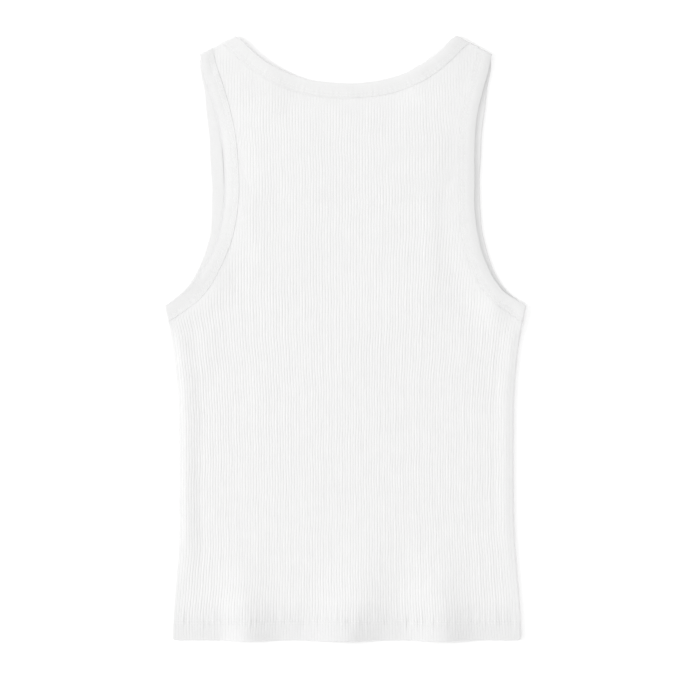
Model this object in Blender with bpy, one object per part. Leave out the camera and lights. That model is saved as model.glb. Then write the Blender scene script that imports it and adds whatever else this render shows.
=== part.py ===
"""A sleeveless rib-knit tank top lying flat on its front, made of the pieces a maker would cut.

The frame: x runs across the garment, y from the hem towards the shoulders, z up from the surface it
lies on. The origin is the middle of the garment's outline, on that surface. Heights in the tables are
measured from the hem.

Five pieces: the ribbed back panel on top, the plain-sided front panel underneath, and three folded
bindings, each one strip that runs along the front, turns over at the fold and comes back along the back.
"""

import math
from collections import namedtuple

import bmesh
import bpy
import numpy as np

# ---------------------------------------------------------------- driving dimensions, in metres

GARMENT = "tank_top"
LENGTH = 0.600  # hem to the rounded neck end of the shoulder

GAP = 0.0003  # between pieces that are sewn or lie together
WALL = 0.0011  # body cloth under its ribs
RIB_RELIEF = 0.0007  # how far a rib stands above its furrows
RIBS_EACH_SIDE = 63  # ribs from the middle to a side seam
RIBS_PAST_SEAM = 2  # cloth beyond the pattern, cut away with it
RIB_FIRST = -RIBS_EACH_SIDE - RIBS_PAST_SEAM
RIB_LAST = RIBS_EACH_SIDE + RIBS_PAST_SEAM

HEM_DEPTH = 0.020  # the turned-up band, where the ribs lie nearly flat
HEM_EXTRA = 0.00045  # the turned-up layer's share of the height there
HEM_RIB_RELIEF = 0.00015
HEM_CORNER = 0.004  # radius of the hem's corners

BINDING_WIDTH = 0.0148
BINDING_THICKNESS = 0.0020
UNDERARM_FOLD_WIDTH = 0.0165  # its widths along the folds, which it crosses at a slant
SHOULDER_FOLD_WIDTH = 0.0143
NECK_FOLD_WIDTH = 0.0155
FOLD_RADIUS = BINDING_THICKNESS + GAP / 2  # where a binding turns over at a shoulder or an underarm
TURN_LENGTH = 0.022  # over this length a binding swings from square across to along its fold
ROUND_EDGE = 0.38 * BINDING_THICKNESS  # half round at the free edge
SEAM_CHAMFER = 0.18 * BINDING_THICKNESS

NECK_POINT = (0.1095, 0.6003)  # neck end of the shoulder line: half width, height
SHOULDER_POINT = (0.1460, 0.5815)  # its outer end
UNDERARM_POINT = (0.1803, 0.3320)
UNDERARM_FOLD_TO = (0.1762, 0.3150)  # the binding's seam, down the side from the underarm point

Side = namedtuple("Side", "height half_width")
SIDE_SEAM = [
    Side(0.000, 0.1730),
    Side(0.030, 0.1720),
    Side(0.060, 0.1698),
    Side(0.090, 0.1675),
    Side(0.120, 0.1662),
    Side(0.180, 0.1659),
    Side(0.235, 0.1665),
    Side(0.262, 0.1682),
    Side(0.285, 0.1707),
    Side(0.305, 0.1737),
    Side(0.320, 0.1776),
    Side(0.332, 0.1803),
]

Armhole = namedtuple("Armhole", "height front back")  # half widths to the free edges
ARMHOLES = [
    Armhole(0.3400, 0.1690, 0.1668),
    Armhole(0.3480, 0.1600, 0.1562),
    Armhole(0.3600, 0.1518, 0.1466),
    Armhole(0.3740, 0.1452, 0.1394),
    Armhole(0.3900, 0.1397, 0.1328),
    Armhole(0.4100, 0.1360, 0.1272),
    Armhole(0.4400, 0.1343, 0.1234),
    Armhole(0.4700, 0.1348, 0.1232),
    Armhole(0.5000, 0.1362, 0.1252),
    Armhole(0.5250, 0.1388, 0.1302),
    Armhole(0.5480, 0.1418, 0.1368),
    Armhole(0.5670, 0.1450, 0.1428),
]

Neck = namedtuple("Neck", "half_width front back")  # heights of the free edges
NECKLINES = [
    Neck(0.0000, 0.4880, 0.5528),
    Neck(0.0250, 0.4895, 0.5543),
    Neck(0.0430, 0.4935, 0.5578),
    Neck(0.0570, 0.5000, 0.5623),
    Neck(0.0700, 0.5110, 0.5682),
    Neck(0.0840, 0.5330, 0.5770),
    Neck(0.0950, 0.5590, 0.5863),
    Neck(0.1035, 0.5830, 0.5950),
]

Flute = namedtuple("Flute", "centre lean height rise fall fade")
HEM_FLUTES = [  # soft folds that stand up at the hem of the back; each falls more steeply to the right
    Flute(centre=-0.095, lean=-0.08, height=0.0046, rise=0.042, fall=0.027, fade=0.100),
    Flute(centre=0.001, lean=0.30, height=0.0046, rise=0.040, fall=0.028, fade=0.120),
    Flute(centre=0.100, lean=-0.06, height=0.0056, rise=0.042, fall=0.027, fade=0.115),
]

UPPER_LIFT = 0.0012  # the back rises this much to pass over the front's bindings
UPPER_LIFT_FROM = 0.425
UPPER_LIFT_OVER = 0.045
NECK_SAG = 0.0015  # and sinks this much into the front's neck opening
NECK_SAG_FROM = 0.505
NECK_SAG_OVER = 0.035
NECK_SAG_HALF = 0.045
NECK_SAG_EDGE = 0.035
BAND_SAG_SHARE = 1.15  # the free neck edge sinks a little deeper than the panel beside it
ARMHOLE_SLOPE = 0.024  # from the armhole seam down to the lying cloth
SIDE_RIDGE = 0.0014  # the seam allowances fill the edge out
SIDE_RIDGE_CREST = 0.0060
SIDE_RIDGE_FOOT = 0.0200
SIDE_RIDGE_TOP = 0.300  # where the ridge passes into the underarm
SHOULDER_DROP_FROM = 0.0062  # the back curves down over the shoulder in this last stretch
SHOULDER_DROP_TO = 0.0010

WHITE_RIB = ("white_rib_knit", (0.87, 0.87, 0.865, 1.0), 0.92)
WHITE_PLAIN = ("white_plain_knit", (0.88, 0.88, 0.875, 1.0), 0.88)

# ---------------------------------------------------------------- small tools


def smooth(value):
    """A soft step from 0 to 1, level at both ends."""
    t = np.clip(value, 0.0, 1.0)
    return t * t * (3.0 - 2.0 * t)


def unit(vector):
    return np.asarray(vector, float) / np.linalg.norm(vector)


def spline(points, steps=12):
    """A smooth curve through the points (Catmull-Rom), with some steps for each span."""
    points = np.asarray(points, float)
    ends = np.vstack([2 * points[0] - points[1], points, 2 * points[-1] - points[-2]])
    t = np.linspace(0.0, 1.0, steps, endpoint=False)[:, None]
    spans = []
    for a, b, c, d in zip(ends, ends[1:], ends[2:], ends[3:]):
        spans.append(
            0.5 * (2 * b + (c - a) * t + (2 * a - 5 * b + 4 * c - d) * t**2 + (3 * b - 3 * c + d - a) * t**3)
        )
    return np.vstack([*spans, points[-1:]])


def evenly(points, count):
    """The same line with a number of points at equal distances along it."""
    lengths = np.r_[0.0, np.cumsum(np.linalg.norm(np.diff(points, axis=0), axis=1))]
    places = np.linspace(0.0, lengths[-1], count)
    return np.column_stack([np.interp(places, lengths, points[:, axis]) for axis in (0, 1)])


def mirrored(points):
    return points * np.array([-1.0, 1.0])


# ---------------------------------------------------------------- the cut of the cloth

SIDE_LINE = spline([(row.height, row.half_width) for row in SIDE_SEAM])


def half_width(height):
    """Half the width between the side seams; above the underarm the ribs run straight on."""
    return np.interp(height, SIDE_LINE[:, 0], SIDE_LINE[:, 1])


def shoulder_height(x):
    """Height of the shoulder line, level across the neck and beyond the shoulder's end."""
    return np.interp(np.abs(x), *zip(NECK_POINT, SHOULDER_POINT))


Fold = namedtuple("Fold", "corner along inward width")


def fold(corner, towards, width):
    """A fold of a binding: it lies along the outline from its corner, and inward is into the garment."""
    along = unit(np.subtract(towards, corner))
    inward = np.array([along[1], -along[0]])
    if inward[0] > 0:
        inward = -inward
    return Fold(np.array(corner), along, inward, width)


UNDERARM_FOLD = fold(UNDERARM_POINT, UNDERARM_FOLD_TO, UNDERARM_FOLD_WIDTH)
SHOULDER_FOLD = fold(SHOULDER_POINT, NECK_POINT, SHOULDER_FOLD_WIDTH)
NECK_FOLD = fold(NECK_POINT, SHOULDER_POINT, NECK_FOLD_WIDTH)


def axis_point(end):
    """Where a fold turns: one radius inside the outline."""
    return end.corner + FOLD_RADIUS * end.inward


ARMHOLE_SECTIONS = 24
NECK_SECTIONS = 23
SIDE_POINTS = 26
SIDE_START = 0.012  # the first and last of those points, from the hem and from the binding
SIDE_STOP = 0.008


def across_binding(edge, ends):
    """At each point of a free edge, the unit direction to the seam and the binding's width along it.

    The direction is square to the edge, and swings to the fold's own near an end that has one.
    """
    tangents = np.gradient(edge, axis=0)
    tangents /= np.linalg.norm(tangents, axis=1)[:, None]
    normals = np.column_stack([tangents[:, 1], -tangents[:, 0]])
    start = ends[0] or ends[1]
    if normals[0 if ends[0] else -1] @ start.along < 0:
        normals = -normals
    steps = np.linalg.norm(np.diff(edge, axis=0), axis=1)
    run = np.r_[0.0, np.cumsum(steps)]
    directions = normals.copy()
    widths = np.full(len(edge), BINDING_WIDTH)
    for end, distance in ((ends[0], run), (ends[1], run[-1] - run)):
        if end is not None:
            share = 1.0 - smooth(distance / TURN_LENGTH)
            directions = directions * (1.0 - share[:, None]) + end.along * share[:, None]
            widths = widths * (1.0 - share) + end.width * share
    directions /= np.linalg.norm(directions, axis=1)[:, None]
    return directions, widths


def armhole_edge(side):
    """The free edge of the right armhole, "front" or "back", from the underarm to the shoulder."""
    rows = [(getattr(row, side), row.height) for row in ARMHOLES]
    return evenly(spline([axis_point(UNDERARM_FOLD), *rows, axis_point(SHOULDER_FOLD)]), ARMHOLE_SECTIONS)


def neck_edge(side):
    """Half of the neck's free edge, from the middle to the right shoulder."""
    rows = [(row.half_width, getattr(row, side)) for row in NECKLINES]
    whole = spline([mirrored(np.array(rows[1])), *rows, axis_point(NECK_FOLD)])
    return evenly(whole[whole[:, 0] > -1e-9], NECK_SECTIONS)


def seam_line(edge, ends):
    """The line that a panel is cut to: the binding's width and a gap away from the free edge."""
    directions, widths = across_binding(edge, ends)
    return edge + directions * (widths + GAP)[:, None]


def fold_corner(end, line_end):
    """Where the panel's edge meets the outline: out from the end of its seam line."""
    return line_end - FOLD_RADIUS * end.inward


def panel_outline(side):
    """The outline of one panel, from the middle of the hem anticlockwise."""
    armhole = seam_line(armhole_edge(side), (UNDERARM_FOLD, SHOULDER_FOLD))
    neck = seam_line(neck_edge(side), (None, NECK_FOLD))
    underarm = fold_corner(UNDERARM_FOLD, armhole[0])
    hem_end = SIDE_SEAM[0].half_width
    turn = np.radians([-90.0, -60.0, -30.0, 0.0])
    corner = np.column_stack([
        hem_end - HEM_CORNER + HEM_CORNER * np.cos(turn),
        HEM_CORNER + HEM_CORNER * np.sin(turn),
    ])
    heights = np.linspace(SIDE_START, underarm[1] - SIDE_STOP, SIDE_POINTS)
    sides = np.column_stack([half_width(heights), heights])
    half = np.vstack([
        [(0.0, 0.0)],
        corner,
        sides,
        underarm[None],
        armhole,
        fold_corner(SHOULDER_FOLD, armhole[-1])[None],
        fold_corner(NECK_FOLD, neck[-1])[None],
        neck[::-1],
    ])
    return np.vstack([half, mirrored(half)[-2:0:-1]])


# ---------------------------------------------------------------- how the back panel lies

BACK_ARMHOLE_EDGE = armhole_edge("back")


def flutes(x, height):
    """The height of the soft folds at the hem: cosine-squared waves that fade out upwards."""
    total = np.zeros(np.broadcast(x, height).shape)
    for flute in HEM_FLUTES:
        offset = x - flute.centre - flute.lean * height
        reach = np.where(offset < 0, flute.rise, flute.fall)
        wave = np.cos(0.5 * math.pi * np.clip(offset / reach, -1.0, 1.0)) ** 2
        total = np.maximum(total, flute.height * wave * np.clip(1.0 - height / flute.fade, 0.0, 1.0) ** 2)
    return total


def neck_sag(x):
    """How deep the back sinks into the front's neck opening, across the garment."""
    return NECK_SAG * (1.0 - smooth((np.abs(x) - NECK_SAG_HALF) / NECK_SAG_EDGE))


def from_armhole(x, height):
    """Distance of each point from the seam of the back's armhole binding, 0 on the binding."""
    points = np.stack([np.abs(x), height], axis=-1)[..., None, :]
    nearest = np.min(np.linalg.norm(points - BACK_ARMHOLE_EDGE, axis=-1), axis=-1)
    return np.maximum(nearest - BINDING_WIDTH, 0.0)


def inner_height(x, height):
    """Height of the back panel's inside above the floor."""
    at_armhole = UPPER_LIFT * (1.0 - smooth(from_armhole(x, height) / ARMHOLE_SLOPE))
    at_top = UPPER_LIFT * smooth((height - UPPER_LIFT_FROM) / UPPER_LIFT_OVER)
    from_side = half_width(height) - np.abs(x)
    ridge = SIDE_RIDGE * smooth(from_side / SIDE_RIDGE_CREST)
    ridge *= 1.0 - smooth((from_side - SIDE_RIDGE_CREST) / (SIDE_RIDGE_FOOT - SIDE_RIDGE_CREST))
    ridge *= 1.0 - smooth((height - SIDE_RIDGE_TOP) / ARMHOLE_SLOPE)
    rise = np.maximum(np.maximum(at_armhole, at_top), ridge)
    rise -= neck_sag(x) * smooth((height - NECK_SAG_FROM) / NECK_SAG_OVER)
    below_shoulder = shoulder_height(x) - height
    over = smooth((below_shoulder - SHOULDER_DROP_TO) / (SHOULDER_DROP_FROM - SHOULDER_DROP_TO))
    return WALL + GAP + rise * over + flutes(x, height)


# ---------------------------------------------------------------- pieces

ROWS = [
    -0.004, 0.0185, 0.0235, 0.050, 0.085, 0.130, 0.215, 0.290, 0.318, 0.345, 0.385, 0.430, 0.470, 0.510, 0.545,
]
SHOULDER_ROWS = [-0.0085, -0.0060, -0.0034, -0.0010, 0.0060]  # from the shoulder line
INSIDE_STEP = 4  # the plain inside has a column for every second rib
HEM_STEP_LENGTH = 0.001  # over which the ribs sink into the hem band
PATTERN_REACH = 0.030  # how far the cutting pattern stands above and below the floor


def rows_at(ribs):
    """Heights of the cloth's rows at each rib position, as an array of rows by positions."""
    rows = [np.full(len(ribs), row) for row in ROWS]
    x = ribs / RIBS_EACH_SIDE * SIDE_SEAM[-1].half_width
    rows += [shoulder_height(x) + row for row in SHOULDER_ROWS]
    return np.array(rows)


def cloth_grid(ribs):
    """x and height of the cloth's points: the ribs fan out with the side seams."""
    height = rows_at(ribs)
    return ribs / RIBS_EACH_SIDE * half_width(height), height


def add_object(name, mesh, finish, collection):
    thing = bpy.data.objects.new(name, mesh)
    collection.objects.link(thing)
    if finish is not None:
        mesh.materials.append(material(*finish))
    return thing


def material(name, colour, roughness):
    """A Principled material; pieces of one cloth share it."""
    made = bpy.data.materials.get(name)
    if made is None:
        made = bpy.data.materials.new(name)
        made.use_nodes = True
        shader = made.node_tree.nodes["Principled BSDF"]
        shader.inputs["Base Color"].default_value = colour
        shader.inputs["Roughness"].default_value = roughness
        shader.inputs["Metallic"].default_value = 0.0
    return made


def grid_faces(rows, columns, start):
    """Quads of a grid whose points are numbered row by row from start."""
    corner = start + np.arange(rows - 1)[:, None] * columns + np.arange(columns - 1)
    corner = corner.ravel()
    return np.column_stack([corner, corner + 1, corner + 1 + columns, corner + columns])


def ribbed_cloth(name, collection):
    """The uncut rib cloth as it lies: zigzag ribs outside, a plain coarser grid inside."""
    ribs = np.arange(2 * RIB_FIRST, 2 * RIB_LAST + 1) / 2.0
    on_crest = (np.arange(len(ribs)) % 2 == 0).astype(float)
    x, height = cloth_grid(ribs)
    in_hem = 1.0 - smooth((height - HEM_DEPTH) / HEM_STEP_LENGTH + 0.5)
    relief = RIB_RELIEF + (HEM_RIB_RELIEF - RIB_RELIEF) * in_hem
    z = inner_height(x, height) + WALL + HEM_EXTRA * in_hem + relief * on_crest
    outside = np.stack([x, height - LENGTH / 2, z], axis=-1)

    inner_ribs = ribs[::INSIDE_STEP]
    x, height = cloth_grid(inner_ribs)
    inside = np.stack([x, height - LENGTH / 2, inner_height(x, height)], axis=-1)

    row_count, outer, inner = len(outside), len(ribs), len(inner_ribs)
    second = row_count * outer
    faces = grid_faces(row_count, outer, 0).tolist()
    faces += grid_faces(row_count, inner, second)[:, ::-1].tolist()
    last = row_count - 1
    lowest = [*range(second + inner - 1, second - 1, -1), *range(outer)]
    highest = [*range(last * outer + outer - 1, last * outer - 1, -1)]
    highest += range(second + last * inner, second + last * inner + inner)
    faces += [lowest, highest]
    for row in range(last):
        near, far = row * outer, second + row * inner
        faces.append([near, near + outer, far + inner, far])
        near, far = near + outer - 1, far + inner - 1
        faces.append([near + outer, near, far, far + inner])
    mesh = bpy.data.meshes.new(name)
    mesh.from_pydata(np.vstack([outside.reshape(-1, 3), inside.reshape(-1, 3)]).tolist(), [], faces)
    work = bmesh.new()
    work.from_mesh(mesh)
    bmesh.ops.recalc_face_normals(work, faces=work.faces)
    bmesh.ops.triangulate(work, faces=work.faces)
    work.to_mesh(mesh)
    work.free()
    return add_object(name, mesh, WHITE_RIB, collection)


def flat_piece(name, outline, low, high, collection):
    """A flat outline as a filled 2D curve, extruded from one height to another."""
    curve = bpy.data.curves.new(name, "CURVE")
    curve.dimensions = "2D"
    curve.fill_mode = "BOTH"
    curve.extrude = (high - low) / 2
    line = curve.splines.new("POLY")
    line.points.add(len(outline) - 1)
    for point, (x, height) in zip(line.points, outline):
        point.co = (x, height - LENGTH / 2, 0.0, 1.0)
    line.use_cyclic_u = True
    thing = add_object(name, curve, None, collection)
    thing.location.z = (low + high) / 2
    return thing


def as_mesh(thing, collection):
    """The same object as a closed mesh, which a Boolean can use."""
    bpy.context.view_layer.update()
    name = thing.name
    evaluated = thing.evaluated_get(bpy.context.evaluated_depsgraph_get())
    mesh = bpy.data.meshes.new_from_object(evaluated)
    work = bmesh.new()
    work.from_mesh(mesh)
    bmesh.ops.remove_doubles(work, verts=work.verts, dist=1e-6)
    bmesh.ops.recalc_face_normals(work, faces=work.faces)
    work.to_mesh(mesh)
    work.free()
    place = thing.matrix_world.copy()
    bpy.data.objects.remove(thing)
    made = add_object(name, mesh, None, collection)
    made.matrix_world = place
    return made


def back_panel(parts, cutters):
    """The back: ribbed cloth, cut out by its pattern."""
    pattern = flat_piece("back_pattern", panel_outline("back"), -PATTERN_REACH, PATTERN_REACH, cutters)
    pattern = as_mesh(pattern, cutters)
    pattern.hide_render = True
    pattern.display_type = "WIRE"
    panel = ribbed_cloth("back_panel", parts)
    cut = panel.modifiers.new("cut_by_pattern", "BOOLEAN")
    cut.operation = "INTERSECT"
    cut.solver = "EXACT"
    cut.object = pattern
    return panel


def front_panel(parts):
    """The front: flat on the floor, its ribs pressed into its outer face."""
    panel = flat_piece("front_panel", panel_outline("front"), 0.0, WALL, parts)
    panel.data.materials.append(material(*WHITE_RIB))
    return panel


Section = namedtuple("Section", "origin across out width")


def binding_profile(width):
    """The folded strip's cross-section: distance from the free edge, and outwards from its inner face.

    The free edge is a round fold; the seam edge has small chamfers.
    """
    thick = BINDING_THICKNESS
    return np.array([
        (0.0, thick / 2),
        (ROUND_EDGE, 0.0),
        (width - SEAM_CHAMFER, 0.0),
        (width, SEAM_CHAMFER),
        (width, thick - SEAM_CHAMFER),
        (width - SEAM_CHAMFER, thick),
        (ROUND_EDGE, thick),
    ])


def flat_sections(edge, ends, out, rise):
    """Sections of a binding along one side of the garment, with its fold level raised by rise."""
    directions, widths = across_binding(edge, ends)
    sections = []
    for point, across, width, up in zip(edge, directions, widths, rise):
        origin = np.array([point[0], point[1] - LENGTH / 2, FOLD_RADIUS + up])
        sections.append(Section(origin, np.append(across, 0.0), out, width))
    return sections


FOLD_ANGLES = np.radians([-60.0, -30.0, 0.0, 30.0, 60.0])
DOWN = np.array([0.0, 0.0, -1.0])
UP = -DOWN


def turned_sections(end):
    """Sections round a fold on the right of the garment, from the front's side to the back's."""
    point = axis_point(end)
    origin = np.array([point[0], point[1] - LENGTH / 2, FOLD_RADIUS])
    outward = np.append(-end.inward, 0.0)
    across = np.append(end.along, 0.0)
    return [
        Section(origin, across, math.cos(angle) * outward + math.sin(angle) * UP, end.width)
        for angle in FOLD_ANGLES
    ]


def flipped(section):
    flip = np.array([-1.0, 1.0, 1.0])
    return Section(section.origin * flip, section.across * flip, section.out * flip, section.width)


def binding(name, sections, parts):
    """A closed ring of strip through its sections, in order."""
    rings = []
    for section in sections:
        profile = binding_profile(section.width)
        outwards = (GAP / 2 + profile[:, 1:]) * section.out
        rings.append(section.origin + profile[:, :1] * section.across + outwards)
    count, sides = len(rings), len(rings[0])
    faces = []
    for ring in range(count):
        following = (ring + 1) % count
        for side in range(sides):
            after = (side + 1) % sides
            near, far = ring * sides, following * sides
            faces.append([near + side, near + after, far + after, far + side])
    mesh = bpy.data.meshes.new(name)
    mesh.from_pydata(np.vstack(rings).tolist(), [], faces)
    work = bmesh.new()
    work.from_mesh(mesh)
    bmesh.ops.recalc_face_normals(work, faces=work.faces)
    work.to_mesh(mesh)
    work.free()
    mesh.shade_smooth()
    mesh.set_sharp_from_angle(angle=math.radians(40.0))
    return add_object(name, mesh, WHITE_PLAIN, parts)


def armhole_sections():
    """The right armhole's binding: up the front, over the shoulder, down the back, round the underarm."""
    ends = (UNDERARM_FOLD, SHOULDER_FOLD)
    level = np.zeros(ARMHOLE_SECTIONS)
    front = flat_sections(armhole_edge("front"), ends, DOWN, level)
    back = flat_sections(armhole_edge("back"), ends, UP, level)
    return [
        *front,
        *turned_sections(SHOULDER_FOLD),
        *back[::-1],
        *turned_sections(UNDERARM_FOLD)[::-1],
    ]


def neck_sections():
    """The neck's binding: across the front to the right shoulder, over it, and back across the back."""
    ends = (None, NECK_FOLD)
    front_edge, back_edge = neck_edge("front"), neck_edge("back")
    front = flat_sections(front_edge, ends, DOWN, np.zeros(NECK_SECTIONS))
    back = flat_sections(back_edge, ends, UP, -neck_sag(back_edge[:, 0]) * BAND_SAG_SHARE)
    over = turned_sections(NECK_FOLD)
    return [
        *[flipped(section) for section in front[:0:-1]],
        *front,
        *over,
        *back[::-1],
        *[flipped(section) for section in back[1:]],
        *[flipped(section) for section in over[::-1]],
    ]


def main():
    for thing in list(bpy.data.objects):
        bpy.data.objects.remove(thing)
    parts = bpy.data.collections.new(GARMENT)
    cutters = bpy.data.collections.new("cutters")
    for collection in (parts, cutters):
        bpy.context.scene.collection.children.link(collection)
    back_panel(parts, cutters)
    front_panel(parts)
    binding("neck_binding", neck_sections(), parts)
    right = armhole_sections()
    binding("armhole_binding_right", right, parts)
    binding("armhole_binding_left", [flipped(section) for section in right], parts)


main()
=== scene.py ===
"""A white rib-knit tank top, laid flat on its front: the looks of every piece.

x runs across the garment, y from the hem towards the shoulders and z up from the surface that it lies
on, all in metres. A height is measured from the hem, so y is a height less half the garment's length.
"""

import logging
import math
from collections.abc import Mapping, Sequence
from dataclasses import dataclass
from enum import Enum
from functools import cached_property
from typing import ClassVar, NamedTuple

import bpy
import numpy as np
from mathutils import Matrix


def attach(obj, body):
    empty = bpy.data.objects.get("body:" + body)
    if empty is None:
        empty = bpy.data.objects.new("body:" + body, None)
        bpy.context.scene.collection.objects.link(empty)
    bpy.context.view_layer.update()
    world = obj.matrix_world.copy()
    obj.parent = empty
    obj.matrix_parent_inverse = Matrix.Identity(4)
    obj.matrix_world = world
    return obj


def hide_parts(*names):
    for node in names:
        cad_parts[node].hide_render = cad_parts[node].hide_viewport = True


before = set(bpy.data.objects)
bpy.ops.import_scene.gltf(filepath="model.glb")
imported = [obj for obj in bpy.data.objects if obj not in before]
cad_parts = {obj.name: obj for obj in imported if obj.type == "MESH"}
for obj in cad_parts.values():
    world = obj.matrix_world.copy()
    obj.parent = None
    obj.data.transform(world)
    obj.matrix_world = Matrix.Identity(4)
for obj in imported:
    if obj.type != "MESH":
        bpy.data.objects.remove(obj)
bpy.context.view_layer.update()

Array = np.ndarray
log = logging.getLogger("tank_top")

BODY = "root"
MIRROR = np.array([-1.0, 1.0, 1.0])
UP = np.array([0.0, 0.0, 1.0])
BACKWARDS = slice(None, None, -1)


# ---------------------------------------------------------------- curves and small formulas


def smooth(value: Array) -> Array:
    """A soft step from 0 to 1, level at both ends: three squares less two cubes."""
    t = np.clip(value, 0.0, 1.0)
    return t * t * (3.0 - 2.0 * t)


def quarter_round(value: Array) -> Array:
    """A quarter circle from 0, upright, to 1, level: the root of one less the rest's square."""
    t = np.clip(value, 0.0, 1.0)
    return np.sqrt(1.0 - (1.0 - t) ** 2)


def sine_round(value: Array) -> Array:
    """A rounding from 0, at a slant, to 1, level: the first quarter of a sine."""
    return np.sin(0.5 * math.pi * np.clip(value, 0.0, 1.0))


def cosine_bump(value: Array) -> Array:
    """A bump of height 1 that ends, level, at -1 and 1: a squared cosine."""
    return np.cos(0.5 * math.pi * np.clip(value, -1.0, 1.0)) ** 2


def bell(value: Array) -> Array:
    """A bell of height 1: e to the power of less the square."""
    return np.exp(-(value**2))


def mix(a: Array | float, b: Array | float, share: Array | float) -> Array:
    """a where share is 0 and b where it is 1, in proportion between."""
    return a + (b - a) * share


def unit(vectors: Array) -> Array:
    """The vectors at length 1."""
    return vectors / np.linalg.norm(vectors, axis=-1, keepdims=True)


def table(kind: type, *rows: tuple) -> tuple:
    """A short table, each of its rows a record of one kind."""
    return tuple(kind(*row) for row in rows)


def looped(values: Array) -> Array:
    """Values along a ring, with the first one again at the end."""
    return np.concatenate([values, values[:1]])


def spline(points: Sequence, steps: int = 12) -> Array:
    """A smooth curve through points, by the Catmull-Rom cubic of each four neighbours.

    Args:
        points: The points, each of any number of coordinates.
        steps: How many points the curve has for each span.

    Returns:
        The curve's points, one row each.
    """
    knots = np.asarray(points, float)
    knots = np.vstack([2 * knots[0] - knots[1], knots, 2 * knots[-1] - knots[-2]])
    a, b, c, d = (knots[k : len(knots) - 3 + k, None, :] for k in range(4))
    t = np.linspace(0.0, 1.0, steps, endpoint=False)[None, :, None]
    curve = 0.5 * (2 * b + (c - a) * t + (2 * a - 5 * b + 4 * c - d) * t**2 + (3 * b - 3 * c + d - a) * t**3)
    return np.vstack([curve.reshape(-1, knots.shape[1]), knots[-2:-1]])


def run_along(points: Array) -> Array:
    """The distance along a line at each of its points, from 0."""
    return np.r_[0.0, np.cumsum(np.linalg.norm(np.diff(points, axis=0), axis=1))]


def sampled(values: Array, run: Array, places: Array) -> Array:
    """Values along a line, known at distances run along it, at other distances along it."""
    return np.column_stack([np.interp(places, run, column) for column in values.T])


def evenly(points: Array, count: int) -> Array:
    """The same line with count points at equal distances along it."""
    run = run_along(points)
    return sampled(points, run, np.linspace(0.0, run[-1], count))


def distance_to_line(x: Array, height: Array, line: Array) -> Array:
    """How far places are from a close-set line, on either half of the garment.

    Args:
        x: The places across the garment.
        height: Their heights.
        line: Points on the right half.

    Returns:
        The distance to the nearest point, by the root of the sum of squares.
    """
    across = np.abs(x)[..., None] - line[:, 0]
    along = height[..., None] - line[:, 1]
    return np.sqrt(np.min(across**2 + along**2, axis=-1))


# ---------------------------------------------------------------- the cut of the garment


class Side(Enum):
    """The two sides of the garment as it lies: the front underneath, the back on top."""

    FRONT = "front"
    BACK = "back"


class Opening(Enum):
    """The two kinds of opening that are bound."""

    ARMHOLE = "armhole"
    NECK = "neck"


class SideSeamRow(NamedTuple):
    """Half the garment's width at a height."""

    height: float
    half_width: float


class ArmholeRow(NamedTuple):
    """Half widths to the armholes' free edges at a height."""

    height: float
    front: float
    back: float


class NeckRow(NamedTuple):
    """Heights of the neck's free edges at a half width."""

    half_width: float
    front: float
    back: float


class ShiftRow(NamedTuple):
    """How far the garment lies outwards of its cut at a height, on the left and on the right."""

    height: float
    left: float
    right: float


@dataclass(frozen=True)
class Fold:
    """A place where a binding turns over the outline, from the front to the back.

    It lies along the outline from its corner, and inward points into the garment.
    """

    corner: Array
    along: Array
    inward: Array
    width: float

    @classmethod
    def between(cls, corner: tuple, towards: tuple, width: float) -> "Fold":
        """The fold from one point of the outline towards another.

        Args:
            corner: The point where it starts.
            towards: The other point.
            width: The binding's width there.

        Returns:
            The fold.
        """
        along = unit(np.subtract(towards, corner))
        inward = np.array([along[1], -along[0]])
        return cls(np.array(corner), along, -inward if inward[0] > 0 else inward, width)


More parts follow.
